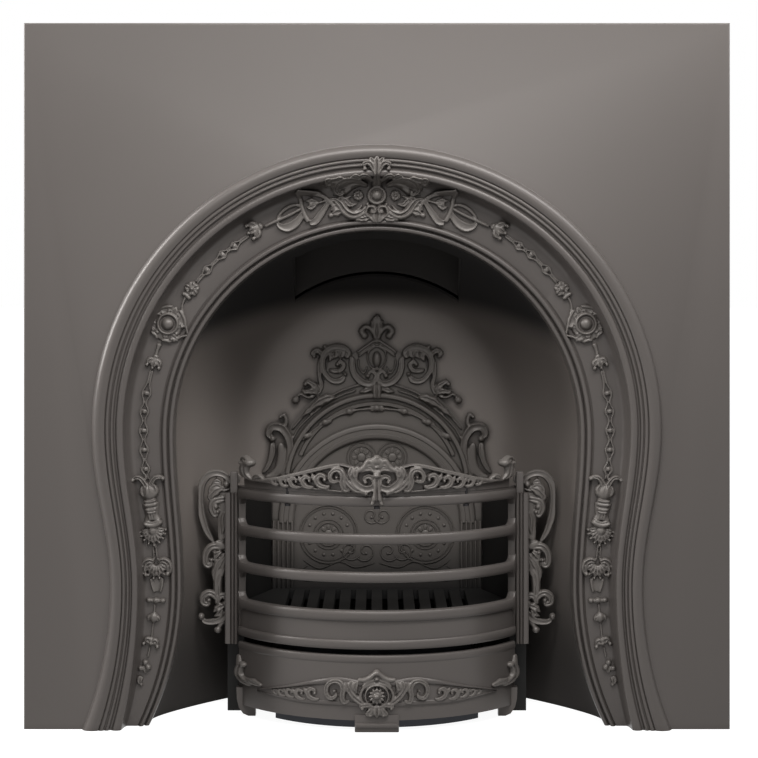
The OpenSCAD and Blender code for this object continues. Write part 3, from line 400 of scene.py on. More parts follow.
HAND_WIDTH = 90.0
POLISH_AND_SHADE_REACH = 9.0
POLISH_METALLIC = 0.16
POLISH_SPECULAR = 0.26


def iron(name, body_hex, polish_and_shade_hex, roughness, grain_mm, grain_depth_mm, polish_spread):
    """Sand-cast iron under graphite polish: the sand leaves a fine grain, the hollows are darker, partly
    from polish that lies there and partly as painted shade, and rubbing the high places makes the sheen
    uneven over a hand's width. The film of graphite and wax hides most of the metal, so little of the sheen
    is metallic.
    Moulding sand is about 0.3 mm, too fine to show here, so the grain is drawn as coarse as grain_mm."""
    material, tree, shader = new_material(name)
    where = node(tree, "ShaderNodeTexCoord").outputs["Object"]
    grain = node(tree, "ShaderNodeTexNoise",
                 {"Vector": where, "Scale": per_metre(grain_mm), "Detail": 3.0, "Roughness": 0.6})
    rubbed = node(tree, "ShaderNodeTexNoise",
                  {"Vector": where, "Scale": per_metre(HAND_WIDTH), "Detail": 4.0, "Roughness": 0.55})
    # Painted shade, together with polish lying in the hollows: darker where the iron closes in round a point
    hollow_shade = node(tree, "ShaderNodeAmbientOcclusion", {"Distance": POLISH_AND_SHADE_REACH * MM}, samples=6)
    polish_and_shade_share = node(tree, "ShaderNodeMapRange",
                        {"Value": hollow_shade.outputs["AO"], "From Min": 0.35, "From Max": 0.95})
    colour = node(tree, "ShaderNodeMix", {"Factor": polish_and_shade_share.outputs["Result"],
                                          "A": linear(polish_and_shade_hex), "B": linear(body_hex)}, data_type="RGBA")
    sheen = node(tree, "ShaderNodeMapRange",
                 {"Value": rubbed.outputs["Fac"], "From Min": 0.3, "From Max": 0.7,
                  "To Min": roughness - polish_spread, "To Max": roughness + polish_spread})
    bump = node(tree, "ShaderNodeBump",
                {"Height": grain.outputs["Fac"], "Distance": grain_depth_mm * MM, "Strength": 0.6})
    wire(tree, shader, {"Base Color": colour.outputs["Result"], "Roughness": sheen.outputs["Result"],
                        "Normal": bump.outputs["Normal"], "Metallic": POLISH_METALLIC,
                        "Specular IOR Level": POLISH_SPECULAR})
    return material


# Black-leaded grey iron, sand cast and brushed: a warm dark grey with a soft satin sheen
blackleaded_iron = iron("blackleaded_cast_iron_brushed", "#585350", "#4c4744", 0.35, 2.2, 0.05, 0.015)
# The same polish over the ornament, painted lighter than the plate to stand in for light on it, with painted
# shade in its hollows
ornament_iron = iron("blackleaded_ornament_iron_brushed", "#66615d", "#45403d", 0.38, 1.6, 0.05, 0.02)
# Inside the basket the iron is painted near black for the shade behind the bars, and is dull
hearth_iron = iron("blackleaded_hearth_iron_painted_shade", "#171615", "#0e0d0d", 0.60, 2.6, 0.07, 0.03)
# Behind, the iron is as it left the sand, painted once with a dull black
rear_iron = iron("sand_cast_iron_blackened", "#3b3937", "#1a1918", 0.68, 1.8, 0.14, 0.04)


SHADED_ROUGHNESS = 0.95


def painted_shade_over(material, upper_shade_from, upper_shade_full, low_shade_from, low_shade_full, low_shade_share, shade_hex):
    """Painted shade over a finish. It blackens the casting between two distances from the hearth's middle,
    and darkens and dulls a share of it between two heights, down to the hearth. All in millimetres."""
    tree = material.node_tree
    shader = tree.nodes["Principled BSDF"]
    where = node(tree, "ShaderNodeTexCoord").outputs["Object"]
    upright = node(tree, "ShaderNodeVectorMath", {0: where, 1: (1, 0, 1)}, operation="MULTIPLY")
    away = node(tree, "ShaderNodeVectorMath", {0: upright.outputs["Vector"]}, operation="LENGTH")
    # Painted shade: black between two distances from the hearth's middle
    upper_shade = node(tree, "ShaderNodeMapRange",
                 {"Value": away.outputs["Value"], "From Min": upper_shade_from * MM, "From Max": upper_shade_full * MM},
                 interpolation_type="SMOOTHSTEP")
    height = node(tree, "ShaderNodeSeparateXYZ", {"Vector": where})
    # Painted shade: darker and duller towards the hearth, by height
    ash = node(tree, "ShaderNodeMapRange",
               {"Value": height.outputs["Z"], "From Min": low_shade_from * MM, "From Max": low_shade_full * MM,
                "To Max": low_shade_share}, interpolation_type="SMOOTHSTEP")
    shade_share = node(tree, "ShaderNodeMath", {0: upper_shade.outputs[0], 1: ash.outputs[0]}, operation="MAXIMUM")
    clean, sheen = (shader.inputs[socket].links[0].from_socket for socket in ("Base Color", "Roughness"))
    shaded_colour = node(tree, "ShaderNodeMix", {"Factor": shade_share.outputs[0], "A": clean, "B": linear(shade_hex)},
                  data_type="RGBA")
    dull = node(tree, "ShaderNodeMix", {"Factor": shade_share.outputs[0], "A": sheen, "B": SHADED_ROUGHNESS},
                data_type="FLOAT")
    bare = node(tree, "ShaderNodeMapRange",
                {"Value": shade_share.outputs[0], "To Min": shader.inputs["Metallic"].default_value, "To Max": 0.0})
    wire(tree, shader, {"Base Color": shaded_colour.outputs["Result"], "Roughness": dull.outputs["Result"],
                        "Metallic": bare.outputs["Result"]})
    return material


# The hood: the same iron, painted lighter than the plate to stand in for light on its walls, with painted
# shade that blackens it under the throat and darkens its lower walls towards the hearth
hood_iron = painted_shade_over(iron("blackleaded_hood_iron_painted_shade", "#78716c", "#4a4542", 0.42, 2.6, 0.07, 0.015),
                   566, 606, 330, 60, 0.82, "#1d1b1a")
# In the throat the iron is painted a dark grey for the shade there, and matt, so it gives no highlight
throat_iron = iron("blackleaded_throat_iron_painted_shade", "#3d3a38", "#3a3735", 0.85, 2.6, 0.07, 0.02)
# The fireback keeps its polish above, and fades to painted shade, near black and dull, behind the grate
fireback_iron = painted_shade_over(iron("blackleaded_fireback_iron_painted_shade", "#605b57", "#37332f", 0.42, 2.2, 0.05, 0.02),
                       900, 1000, 255, 150, 0.9, "#0d0c0c")


TURNING_MARKS = 1.2
MILL_CLOUDS = 45.0


def machined_steel():
    """Mild steel, turned and blacked: dark fastenings with a hard, narrow sheen. Turning marks are
    about 0.2 mm apart, too fine to show, so they are drawn coarser."""
    material, tree, shader = new_material("mild_steel_turned_blacked")
    where = node(tree, "ShaderNodeTexCoord").outputs["Object"]
    turned_lines = node(tree, "ShaderNodeTexNoise",
                        {"Vector": where, "Scale": per_metre(TURNING_MARKS), "Detail": 2.0})
    sheen = node(tree, "ShaderNodeMapRange",
                 {"Value": turned_lines.outputs["Fac"], "To Min": 0.28, "To Max": 0.45})
    wire(tree, shader, {"Base Color": linear("#2e2d2e"), "Roughness": sheen.outputs["Result"],
                        "Metallic": 1.0})
    return material


def pan_sheet():
    """Black iron sheet, rolled and oiled: a blue-black mill skin with cloudy patches."""
    material, tree, shader = new_material("black_iron_sheet_rolled")
    where = node(tree, "ShaderNodeTexCoord").outputs["Object"]
    clouds = node(tree, "ShaderNodeTexNoise",
                  {"Vector": where, "Scale": per_metre(MILL_CLOUDS), "Detail": 5.0, "Roughness": 0.6})
    colour = node(tree, "ShaderNodeMix", {"Factor": clouds.outputs["Fac"], "A": linear("#26272a"),
                                          "B": linear("#3d3e42")}, data_type="RGBA")
    sheen = node(tree, "ShaderNodeMapRange",
                 {"Value": clouds.outputs["Fac"], "To Min": 0.35, "To Max": 0.6})
    wire(tree, shader, {"Base Color": colour.outputs["Result"], "Roughness": sheen.outputs["Result"],
                        "Metallic": 0.8})
    return material


fastener_steel = machined_steel()
sheet_iron = pan_sheet()


# ---- The arch's guide lines ----

def flare_radius(guide):
    """Radius of the arc that flares a guide line from the waist to the foot."""
    out = FOOT_HALF[guide] - WAIST_HALF[guide]
    return (WAIST_Z ** 2 + out ** 2) / (2 * out)


def leg_half(guide, z):
    """Half width of a guide line below the arch: a cosine to the waist, then an arc to the foot."""
    if z > WAIST_Z:
        turn = math.pi * (z - WAIST_Z) / (ARCH_CENTRE[guide] - WAIST_Z)
        return mix(WAIST_HALF[guide], ARCH_HALF[guide], (1 - math.cos(turn)) / 2)
    r = flare_radius(guide)
    return WAIST_HALF[guide] + r - math.sqrt(r * r - (WAIST_Z - z) ** 2)


LEG_SHARE = 0.16


def outward(s):
    """Direction out of the arch at s, which runs from 0 at the left foot to 1 at the right foot."""
    if s < LEG_SHARE:
        return -1.0, 0.0
    if s > 1 - LEG_SHARE:
        return 1.0, 0.0
    angle = math.pi * (1 - (s - LEG_SHARE) / (1 - 2 * LEG_SHARE))
    return math.cos(angle), math.sin(angle)


def guide_point(guide, s):
    """A point (x, z) of a guide line at s."""
    way = outward(s)
    if s < LEG_SHARE or s > 1 - LEG_SHARE:
        z = ARCH_CENTRE[guide] * min(s, 1 - s) / LEG_SHARE
        return way[0] * leg_half(guide, z), z
    return ARCH_HALF[guide] * way[0], ARCH_CENTRE[guide] + ARCH_HALF[guide] * way[1]


def section_place(point, s):
    """A point of the moulding's section: (place across the guides, step outwards, depth)."""
    across, step, depth = point
    guide = max(0, min(math.floor(across), 2))
    a, b = guide_point(guide, s), guide_point(guide + 1, s)
    way = outward(s)
    share = across - guide
    return place(mix(a[0], b[0], share) + step * way[0], depth, mix(a[1], b[1], share) + step * way[1])


# ---- Front plate and arch moulding ----

def arc(centre, radius, depth, rise, start, stop, steps):
    """Part of a rounded form in the section, as (across, step, depth) points."""
    angles = [math.radians(mix(start, stop, k / steps)) for k in range(steps + 1)]
    return [(centre - radius * math.cos(a), 0, depth - rise * math.sin(a)) for a in angles]


ROLL_MIDDLE = 0.198
ROLL_HALF = 0.28
ROLL_FOOT = -0.115
INNER_RISE = 3.2


def mould_section():
    """The moulding's section from the plate's face, over the roll, beads and band, to the opening."""
    band = BAND_DEPTH
    return (
        [(ROLL_FOOT, 0, 0), (-0.09, 0, -0.4)]
        + arc(ROLL_MIDDLE, ROLL_HALF, 0.0, ROLL_PROUD, 9, 125, 18)
        + [(0.369, 0, -8.7), (0.381, 0, -8.3)]
        + arc(0.445, 0.056, -8.2, 2.0, 15, 165, 7)
        + [(0.513, 0, -7.8), (0.529, 0, -7.3), (0.545, 0, -7.4)]
        + arc(0.598, 0.045, -7.3, 1.8, 15, 165, 6)
        + [(0.657, 0, -6.2), (0.685, 0, -5.3), (0.713, 0, -5.2)]
        + arc(0.855, 0.130, -4.8, 4.6, 12, 168, 12)
        + [(0.990, 0, -2.6), (1.0, 0, 0.8), (1.015, 0, 4.2), (1.04, 0, 8.4), (1.075, 0, 12.2),
           (1.11, 0, 15.2), (1.155, 0, 17.8), (1.20, 0, 19.2), (1.25, 0, band), (1.6, 0, band + 0.2),
           (1.96, 0, band)]
        + [(1.985, 0, band + 0.9), (2.02, 0, band + 1.3), (2.06, 0, band + 0.5), (2.09, 0, band - 0.3)]
        + arc(2.29, 0.19, band - 0.4, 2.8, 12, 160, 8)
        + [(2.495, 0, band + 1.6), (2.53, 0, band + 3.8), (2.56, 0, band + 4.4), (2.585, 0, band + 4.4)]
        + arc(2.80, 0.21, band + 4.4, 3.2, 12, 160, 9)
        + [(3.0, 0, band + 9.0), (3.0, 0, band + 16.0), (3.0, 0, OPENING_DEPTH)]
    )


MOULD_BACK = [
    (3.00, MOULD_WALL, OPENING_DEPTH), (3.00, MOULD_WALL, BAND_DEPTH + 26),
    (2.0, 0, BAND_DEPTH + INNER_RISE + MOULD_WALL), (1.10, 0, BAND_DEPTH + MOULD_WALL),
    (0.80, 0, PLATE_T + 4), (0.40, 0, PLATE_T + 3), (0.02, 0, PLATE_T + 3),
    (ROLL_FOOT, 0, PLATE_T),
]
ARCH_STATIONS = 260


def plate_outline(inset):
    """The plate's edge outside the arch: three straight sides, then back along the outer guide line."""
    x, top = PLATE_HALF - inset, PLATE_TOP - inset
    corners = [(-x, 0), (-x, top), (x, top), (x, 0)]
    arch = [section_place((ROLL_FOOT, 0, 0), 1 - k / ARCH_STATIONS) for k in range(ARCH_STATIONS + 1)]
    return corners, arch


def add_plate(bm, depth, inset):
    """One face of the plate, with the arch left out."""
    corners, arch = plate_outline(inset)
    flat = [place(x, depth, z) for x, z in corners]
    flat += [Vector((p.x, PLATE_Y + depth * MM, p.z)) for p in arch]
    bm.faces.new([bm.verts.new(p) for p in flat])


def add_rim(bm):
    """The rounded front edge and the return behind it, round the top and both sides."""
    section = [(EDGE_ROUND * (1 - math.sin(a)), EDGE_ROUND * (1 - math.cos(a)))
               for a in (math.radians(15 * k) for k in range(7))]
    section += [(0.0, RIM_DEPTH - 1), (1.0, RIM_DEPTH), (RIM_T - 1, RIM_DEPTH), (RIM_T, RIM_DEPTH - 1),
                (RIM_T, PLATE_T)]
    corners = [(-1, 0), (-1, 1), (1, 1), (1, 0)]

    def laid(share, point):
        side, up = corners[round(share * 3)]
        inset, depth = point
        return place(side * (PLATE_HALF - inset), depth, up * (PLATE_TOP - inset))

    swept(bm, 3, section, laid)


EAR_X = 459.5
EAR_HALF = 17.0
EAR_HEIGHTS = (150.0, 815.0)
EAR_HOLE_R = 4.5
EAR_T = 7.0
# Screw bosses: how far along the arch, and how far outside the opening
BOSS_PLACES = ((0.955, 18.0), (0.886, 18.0), (0.706, 18.0))


def fixing_ear(bm, z):
    """A square ear behind the rim with a drilled hole."""
    ring = [place(EAR_X + EAR_HALF * dx, RIM_DEPTH, z + EAR_HALF * dz) for dx, dz in
            ((-1, -1), (0, -1), (1, -1), (1, 0), (1, 1), (0, 1), (-1, 1), (-1, 0))]
    outer = [bm.verts.new(p) for p in ring]
    outer_edges = [bm.edges.new(pair) for pair in zip(outer, outer[1:] + outer[:1])]
    hole = bmesh.ops.create_circle(bm, segments=24, radius=EAR_HOLE_R * MM)["verts"]
    for vert in hole:
        vert.co = place(EAR_X, RIM_DEPTH, z) + Vector((vert.co.x, 0, vert.co.y))
    hole_edges = list({edge for vert in hole for edge in vert.link_edges})
    made = bmesh.ops.bridge_loops(bm, edges=outer_edges + hole_edges)["faces"]
    pulled(bm, made, (0, -EAR_T * MM, 0))


def screw_boss(bm, s, out):
    """A drilled boss behind the moulding."""
    x, z = guide_point(3, s)
    way = outward(s)
    profile = [(4.3, 30), (4.3, 62), (8.8, 62), (9.5, 61.3), (9.5, 28)]
    turned(bm, profile, x + out * way[0], z + out * way[1])


def build_fascia():
    """The plate with its moulding and rim as one casting, and the fittings behind it."""
    bm = bmesh.new()
    swept(bm, ARCH_STATIONS, mould_section() + MOULD_BACK, lambda share, point: section_place(
        point, round(share * ARCH_STATIONS) / ARCH_STATIONS))
    add_plate(bm, 0, EDGE_ROUND)
    add_plate(bm, PLATE_T, RIM_T)
    add_rim(bm)
    closed(bm)
    fascia = piece("front_plate", bm, blackleaded_iron)
    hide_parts("fascia")
    fittings = bmesh.new()
    for z in EAR_HEIGHTS:
        fixing_ear(fittings, z)
    for s, out in BOSS_PLACES:
        screw_boss(fittings, s, out)
    mirrored(fittings)
    piece("fixing_ears_and_bosses", fittings, rear_iron)


# ---- Ornament on the arch's band ----

def on_band(x, z, height):
    """On the flat of the ornament band."""
    return place(x, BAND_DEPTH - height, z)


RISE_START = 333.0
RISE_RUN = 15.0
BEAD_CREST = -7.0


def over_mouldings(x, z, height):
    """On the band, but rising from its outer edge over the beads and the roll at the crown."""
    rise = (math.hypot(x, z - ARCH_CENTRE[0]) - RISE_START) / RISE_RUN
    return place(x, mix(BAND_DEPTH, BEAD_CREST, min(1.0, max(0.0, rise))) - height, z)


def crown_ornament():
    """Boss, palmette, leaf scrolls and cartouche at the crown of the arch, drawn on the right."""
    art = Relief(over_mouldings, fuller=1.55)
    boss = (0, 730)
    art.ball(boss[0], boss[1], 7, 13.0)
    art.ring(boss[0], boss[1], 11, 2.2, 7.5)
    # Palmette that rises over the mouldings
    art.strap([(0, 740), (0, 756.5), (0, 771.5), (0, 784)], [5.0, 3.2, 4.2, 1.5], [9, 8, 8, 7], form_leaf)
    art.leaf([(1.5, 769), (7.5, 777.5), (10.5, 780.5)], 2.8, 7)
    art.leaf([(1.5, 756.5), (9, 772), (17, 771.5), (16.5, 765.5)], 3.8, 8, 3)
    art.ball(16, 765, 2.6, 8)
    art.leaf([(4, 748), (14.5, 755), (22, 754), (24, 749.5)], 3.2, 8, 2)
    art.ball(23.5, 750, 2.4, 8)
    art.leaf([(20.5, 751), (29, 755), (36.5, 753.5)], 3.0, 8, 2)
    art.ball(35, 752, 2.2, 8)
    # Leaf scroll that runs out from the ring and turns down
    art.strap([(11.5, 742.5), (23.5, 746), (34.5, 745), (46, 740), (53.5, 737)], [2.2, 3.2, 5.2, 7.4, 3.5],
              [6, 8, 10, 11, 7], form_leaf)
    art.leaf([(37, 745.5), (49.5, 749), (60.5, 747.5), (67, 747)], 5.2, 9, 3)
    art.volute([(15, 742.5), (27.5, 748.5), (41, 749), (52.5, 744), (56.5, 736), (50, 731), (44.5, 735)],
               [1.4, 2.4, 3.2, 3.2, 2.8, 2.2, 1.6], [6, 9, 10.5, 11, 11, 10, 9], 2.0, form_leaf)
    art.ring(65.5, 746.5, 4.2, 1.5, 7)
    art.ball(65.5, 746.5, 1.8, 7.5)
    art.leaf([(44, 742.5), (52, 734.5), (60.5, 730)], 4.6, 8.5, 2)
    art.leaf([(49.5, 741.5), (58.5, 739.5), (63.5, 736)], 3.6, 7, 2)
    # C scroll with a flower and a leaf inside it
    art.volute([(68.5, 722), (59, 724), (51, 718.5), (43, 707.5), (31.5, 702.5), (19, 707.5), (13, 717.5)],
               [1.8, 2.6, 4.2, 4.8, 4.6, 3.4, 2.2], [5, 6.5, 9, 10, 10, 8, 7], 2.4, form_leaf)
    art.strap([(57.5, 723.5), (49.5, 727), (41, 727), (33, 730)], [1.2, 1.6, 1.4, 1.0], 5)
    art.petals(25.5, 730, 2.0, 8.2, 5, 3.0, 7.5, 40)
    art.ball(25.5, 730, 3.0, 8.5)
    art.leaf([(49.5, 717.5), (44, 723), (36.5, 717), (25.5, 719)], 4.6, 7, 3)
    art.strap([(46.5, 711), (37.5, 706.5), (27.5, 709), (19, 718)], [1.4, 1.8, 1.6, 1.0], 7)
    art.leaf([(44, 710), (55.5, 706.5), (65, 701.5)], 5.2, 8, 2)
    art.ball(63.5, 702.5, 3.4, 6.5)
    art.leaf([(48, 714), (58, 714.5), (64, 708)], 3.4, 6.5)
    # Cartouche under the boss
    art.strap([(0, 717.5), (0, 707), (0, 699), (0, 691)], [6.5, 8.5, 7.0, 1.2], [6, 8, 8, 5], form_leaf)
    art.volute([(1.5, 691.5), (9, 699), (15, 705.5), (11.5, 714), (3.5, 713.5), (2.5, 707), (6.5, 706)], 1.7,
               [6, 7, 8, 9, 9, 9], 1.9)
    art.leaf([(9.5, 700), (18.5, 697.5), (29, 697)], 4.4, 7.5, 3)
    art.ball(27, 697, 2.8, 6.5)
    art.leaf([(13, 707), (20.5, 704.5), (25.5, 700.5)], 3.2, 6.5)
    art.fuller = 1.8
    # Kite-shaped strap with a bud in it, crossing the C scroll's stem
    art.strap([(55.5, 710), (62, 718.5), (69.5, 726), (79.5, 731), (92, 732.5), (103, 733), (110, 735)],
              [1.8, 2.0, 2.3, 2.3, 2.3, 2.4, 1.6], 5.5, form_round, (0.05, 0.04))
    art.strap([(110, 735), (105.5, 725), (103.5, 715.5), (99.5, 703.5), (93.5, 692.5)],
              [1.6, 2.3, 2.0, 2.2, 2.4], 5.5, form_round, (0.04, 0.03))
    art.strap([(93.5, 692), (85, 694), (77, 704.5), (69, 716.5), (64.5, 724)], [2.4, 3.4, 3.4, 2.4, 1.4], 6,
              form_channel, (0.05, 0.05))
    art.strap([(68.5, 723), (79.5, 720), (87, 717.5)], [1.0, 1.3, 2.0], 4.5)
    art.leaf([(81, 721), (90.5, 722.5), (100.5, 722.5)], 3.2, 6, 2)
    art.leaf([(82.5, 718), (91, 713.5), (98.5, 714.5)], 3.2, 6, 2)
    art.ball(90.5, 718, 3.0, 6.5)
    # Oval loop with a stem through it
    art.strap([(103.5, 713.5), (111, 717), (121, 714.5), (129.5, 708.5), (135, 701.5), (138, 694)],
              [1.2, 1.7, 2.0, 1.8, 1.6, 1.0], 4.5)
    art.strap([(100.5, 710.5), (104.5, 701), (112.5, 691.5), (123, 686), (132.5, 687.5), (138, 693.5)],
              [1.4, 3.0, 4.2, 4.6, 2.8, 1.2], 5.5, form_channel)
    art.strap([(103, 712.5), (119.5, 703.5), (136, 696), (157, 686)], [1.6, 1.8, 1.8, 1.4], 5.2)
    art.finish("arch_crown_ornament", ornament_iron, voxel=0.75)


def bell_flower(art, size=1.0):
    """A collar and a bell of three curled petals, hanging down from the spot."""
    art.strap([(-4.6 * size, 0), (0, 1.2 * size), (4.6 * size, 0)], 1.9 * size, 6 * size, ends=(0.3, 0.3))
    art.ball(0, -6 * size, 6.2 * size, 6.5 * size, 6.5 * size)
    for side in (-1, 1):
        art.leaf([(side * 1.5 * size, -3 * size), (side * 7.5 * size, -8 * size),
                  (side * 9.5 * size, -14.5 * size)], 3.6 * size, 7.5 * size)
        art.ball(side * 9.2 * size, -14.6 * size, 2.7 * size, 7 * size)
    art.leaf([(0, -4 * size), (0, -11 * size), (0, -18 * size)], 4.2 * size, 8.5 * size)
    art.ball(0, -17 * size, 2.3 * size, 6.5 * size)


def bead_chain(art, points, beads):
    """Two fine cords that part round each bead."""
    total = len(points) - 1
    for side in (-1, 1):
        cord = []
        for k in range(6 * total + 1):
            u = k / (6 * total)
            here = spline_point(points, u)
            way = spline_point(points, min(1.0, u + 0.02)) - spline_point(points, max(0.0, u - 0.02))
            way.normalize()
            swell = max([0.0] + [1 - abs(u - b) / 0.075 for b in beads])
            gap = 1.7 + 4.2 * (3 * swell ** 2 - 2 * swell ** 3)
            cord.append((here.x - way.y * gap * side, here.y + way.x * gap * side))
        art.strap(cord, 0.95, 3.8, ends=(0.02, 0.02), steps=10 * total, sides=8)
    for b in beads:
        here = spline_point(points, b)
        art.ball(here.x, here.y, 3.3, 4.6)


def drop_ornament():
    """The chain of flowers, medallion, torch and shell that hangs down the band, drawn on the right."""
    art = Relief(on_band, fuller=1.6)
    art.at(161, 687, turn=60)
    bell_flower(art, 1.08)
    art.at(0, 0)
    bead_chain(art, [(175, 676.5), (196, 660.5), (212.5, 648.5), (232, 629), (250, 609)], [0.25, 0.5, 0.77])
    # Flower above the medallion
    art.at(254.5, 601.5, turn=38)
    art.petals(0, 0, 2.0, 11.0, 5, 3.9, 7.5, -90)
    art.ball(0, 0, 3.4, 9)
    art.strap([(-8, -13), (0, -11.6), (8, -13)], 2.2, 6, ends=(0.2, 0.2))
    art.at(0, 0)
    art.strap([(263, 590.5), (267, 582), (268, 574), (265.5, 565.5)], [1.6, 1.3, 1.2, 1.4], 4)
    # Medallion: a boss in a ring, in a frame of small scrolls and points
    art.at(287.5, 553.5, turn=28)
    art.strap([(0, -25), (0, -12), (0, 10), (0, 25)], [3.0, 13.5, 14.5, 4.0], [2.6, 3.6, 3.6, 2.6],
              form_plateau, sides=16)
    art.ball(0, 0, 7.5, 11.0)
    art.ring(0, 0, 13.5, 1.8, 7.5)
    art.strap([(6, -2), (14, -8), (22, -18)], [9, 7, 1.5], [3.4, 3.4, 3.0], form_plateau)
    for turn in range(8):
        a = math.radians(45 * turn + 22)
        art.leaf([(12.5 * math.cos(a), 12.5 * math.sin(a)), (17 * math.cos(a + 0.1), 17 * math.sin(a + 0.1)),
                  (20.5 * math.cos(a - 0.1), 20.5 * math.sin(a - 0.1))], 3.3, 6)
        art.ball(18.4 * math.cos(a), 18.4 * math.sin(a), 2.2, 6.2)
    for side in (-1, 1):
        art.volute([(side * 4, 24.5), (side * 11, 21), (side * 18, 15.5), (side * 22, 9), (side * 19, 5.5)],
                   [1.4, 1.8, 1.8, 1.6, 1.4], 5.5, 2.6)
        art.leaf([(side * 12, -12), (side * 19, -13), (side * 24.5, -15.5)], 2.9, 5.5)
        art.volute([(side * 2, -25), (side * 8, -21.5), (side * 14, -20.5), (side * 14.5, -16.5)],
                   [1.4, 1.8, 1.6, 1.4], 5.5, 2.5)
    art.leaf([(0, 14), (0, 21), (0, 27)], 3.4, 6.5)
    art.at(0, 0)
    art.strap([(265.5, 564.5), (262.5, 550.5), (260, 537.5)], [1.6, 1.4, 0.9], 4.5)
    art.strap([(260, 537.5), (270.5, 535), (281.5, 528.5)], [0.9, 1.3, 1.6], 4.5)
    art.strap([(298.5, 527.5), (302, 517.5), (304, 509)], [3.0, 1.7, 1.8], [5.5, 4.5, 5])
    art.at(304, 507.5, turn=18)
    bell_flower(art, 0.92)
    art.at(0, 0)
    bead_chain(art, [(309.5, 491.5), (317, 458.5), (320, 434), (321, 408), (320.5, 382), (318.5, 355.5),
                     (315.5, 338)],
               [0.17, 0.34, 0.51, 0.68, 0.85])
    torch(art)
    garland_end(art)
    art.finish("arch_drop_ornament", ornament_iron, voxel=0.8)


def torch(art):
    """A leafy torch: curled tips over a belly, collars, a shaft and a flange."""
    art.at(312, 312, turn=-7)
    for side, lift in ((1, 2.5), (-1, 0)):
        art.volute([(side * 1, 10), (side * 4, 21), (side * 10, 28 + lift), (side * 17, 29 + lift),
                    (side * 21, 26.5 + lift)], [3.2, 3.0, 2.6, 2.2, 2.0], [8, 9, 8.5, 7.5, 7], 3.0,
                   form_leaf)
        art.leaf([(side * 2, 2), (side * 7.5, 12), (side * 5.5, 23)], 4.6, 9)
    art.ball(0, 9.5, 8.6, 10.5, 10)
    art.leaf([(0, 2), (0, 12), (0, 23)], 4.6, 12)
    for z, half, thick in ((-1.5, 9.6, 1.8), (-6.5, 10.4, 2.4), (-13.0, 9.0, 2.2), (-17, 7.6, 1.4)):
        art.strap([(-half, z), (0, z - 1.3), (half, z)], thick, 9.5, ends=(0.2, 0.2))
    art.strap([(0, -4), (0, -12), (0, -22), (0, -29)], [8.0, 7.2, 6.0, 8.2], [8.2, 7.6, 7, 8],
              ends=(0.02, 0.02), sides=16)
    for x in (-3.8, 0, 3.8):
        art.strap([(x * 0.95, -17), (x * 0.9, -27)], 1.3, 8.6)
    art.strap([(-13.5, -31.2), (-7, -34.6), (0, -36), (7, -34.6), (13.5, -31.2)], [2.0, 2.9, 3.1, 2.9, 2.0],
              9, ends=(0.1, 0.1))
    art.strap([(-11.5, -28.6), (0, -31.6), (11.5, -28.6)], 1.6, 8, ends=(0.2, 0.2))


def fan_leaves(art, count, reach, spread, width, height, drop=0.0):
    """Leaves that spread like a fan, down from the spot."""
    for k in range(count):
        share = 2 * k / (count - 1) - 1
        a = math.radians(-90 + spread * share)
        length = reach * (1 - 0.18 * abs(share))
        path = [(0.16 * length * math.cos(a), drop + 0.16 * length * math.sin(a)),
                (0.6 * length * math.cos(a), drop + 0.62 * length * math.sin(a) * (1 - 0.1 * abs(share))),
                (length * math.cos(a), drop + length * math.sin(a) * (1 - 0.2 * abs(share)))]
        art.leaf(path, width, height * (1 - 0.2 * abs(share)))
        art.ball(path[2][0], path[2][1], width * 0.62, height * 0.75)


def garland_end(art):
    """Below the torch: a fan of leaves, a shell cup, a funnel and a string of small buds."""
    art.at(308.5, 270.5, turn=-6)
    fan_leaves(art, 9, 22, 82, 3.1, 8)
    art.ball(0, -2, 6, 8.5)
    for side in (-1, 1):
        art.strap([(side * 1.9, -16), (side * 2.1, -30), (side * 2.3, -44)], 1.0, 3.4)
    art.at(303.5, 224, turn=-2)
    fan_leaves(art, 8, 24, 70, 3.2, 9.5, 2)
    for side in (-1, 1):
        art.volute([(side * 2, 1), (side * 9, 4), (side * 16, 0.5), (side * 18.4, -8), (side * 15, -15)],
                   [2.2, 3.2, 3.6, 3.2, 2.4], [8, 9, 9, 8.5, 7], 3.0, form_leaf)
        art.strap([(side * 8.4, -20), (side * 7.2, -29), (side * 4.0, -41)], [1.4, 1.6, 1.3], 4.2)
    art.strap([(0, -17), (0, -28), (0, -40)], [6.2, 5.2, 3.0], [4.5, 3.6, 3.2], form_channel)
    art.at(304, 173, turn=2)
    for x, r in ((-9.4, 3.6), (0, 4.2), (9.4, 3.6)):
        art.ball(x, 0, r, 6.2, r * 0.85)
    art.strap([(-9, 0.5), (0, -0.8), (9, 0.5)], 2.0, 4.6, ends=(0.1, 0.1))
    art.at(307, 149, turn=6)
    art.strap([(0.2, 20), (0, 10), (0, 4)], [1.2, 1.1, 2.2], 3.6)
    art.ball(0, 0.5, 5.4, 7.5, 6.0)
    for side in (-1, 1):
        art.leaf([(side * 2, 2), (side * 6, -0.5), (side * 6.5, -5)], 2.7, 6)
    art.strap([(0, -6), (0, -18), (0, -30)], [1.1, 1.0, 1.2], 3.2)
    art.at(311, 113.5, turn=13)
    for side in (-1, 1):
        art.leaf([(0, 0), (side * 5.5, 4.4), (side * 11, -1.6)], 3.6, 6.5)
        art.ball(side * 9.6, -2.4, 2.7, 6)
    art.ball(0, 0.5, 2.7, 6.5)
    art.strap([(0, -3), (0, -12), (0, -20)], [1.1, 1.0, 1.3], 3.2)
    art.at(319.5, 81.5, turn=14)
    for x, z in ((-4.8, 0.5), (5.0, -3.0), (0.6, 6.0)):
        art.ball(x, z, 3.6, 6.2)
    art.leaf([(1, 3), (-2, -4), (-3, -9)], 2.6, 5)
    art.at(324.5, 62, turn=13)
    art.leaf([(0, 7), (2.4, 1), (-1.6, -6)], 3.4, 5.5)
    art.ball(-1.2, -4.6, 2.4, 4.2)


# ---- Niche ----

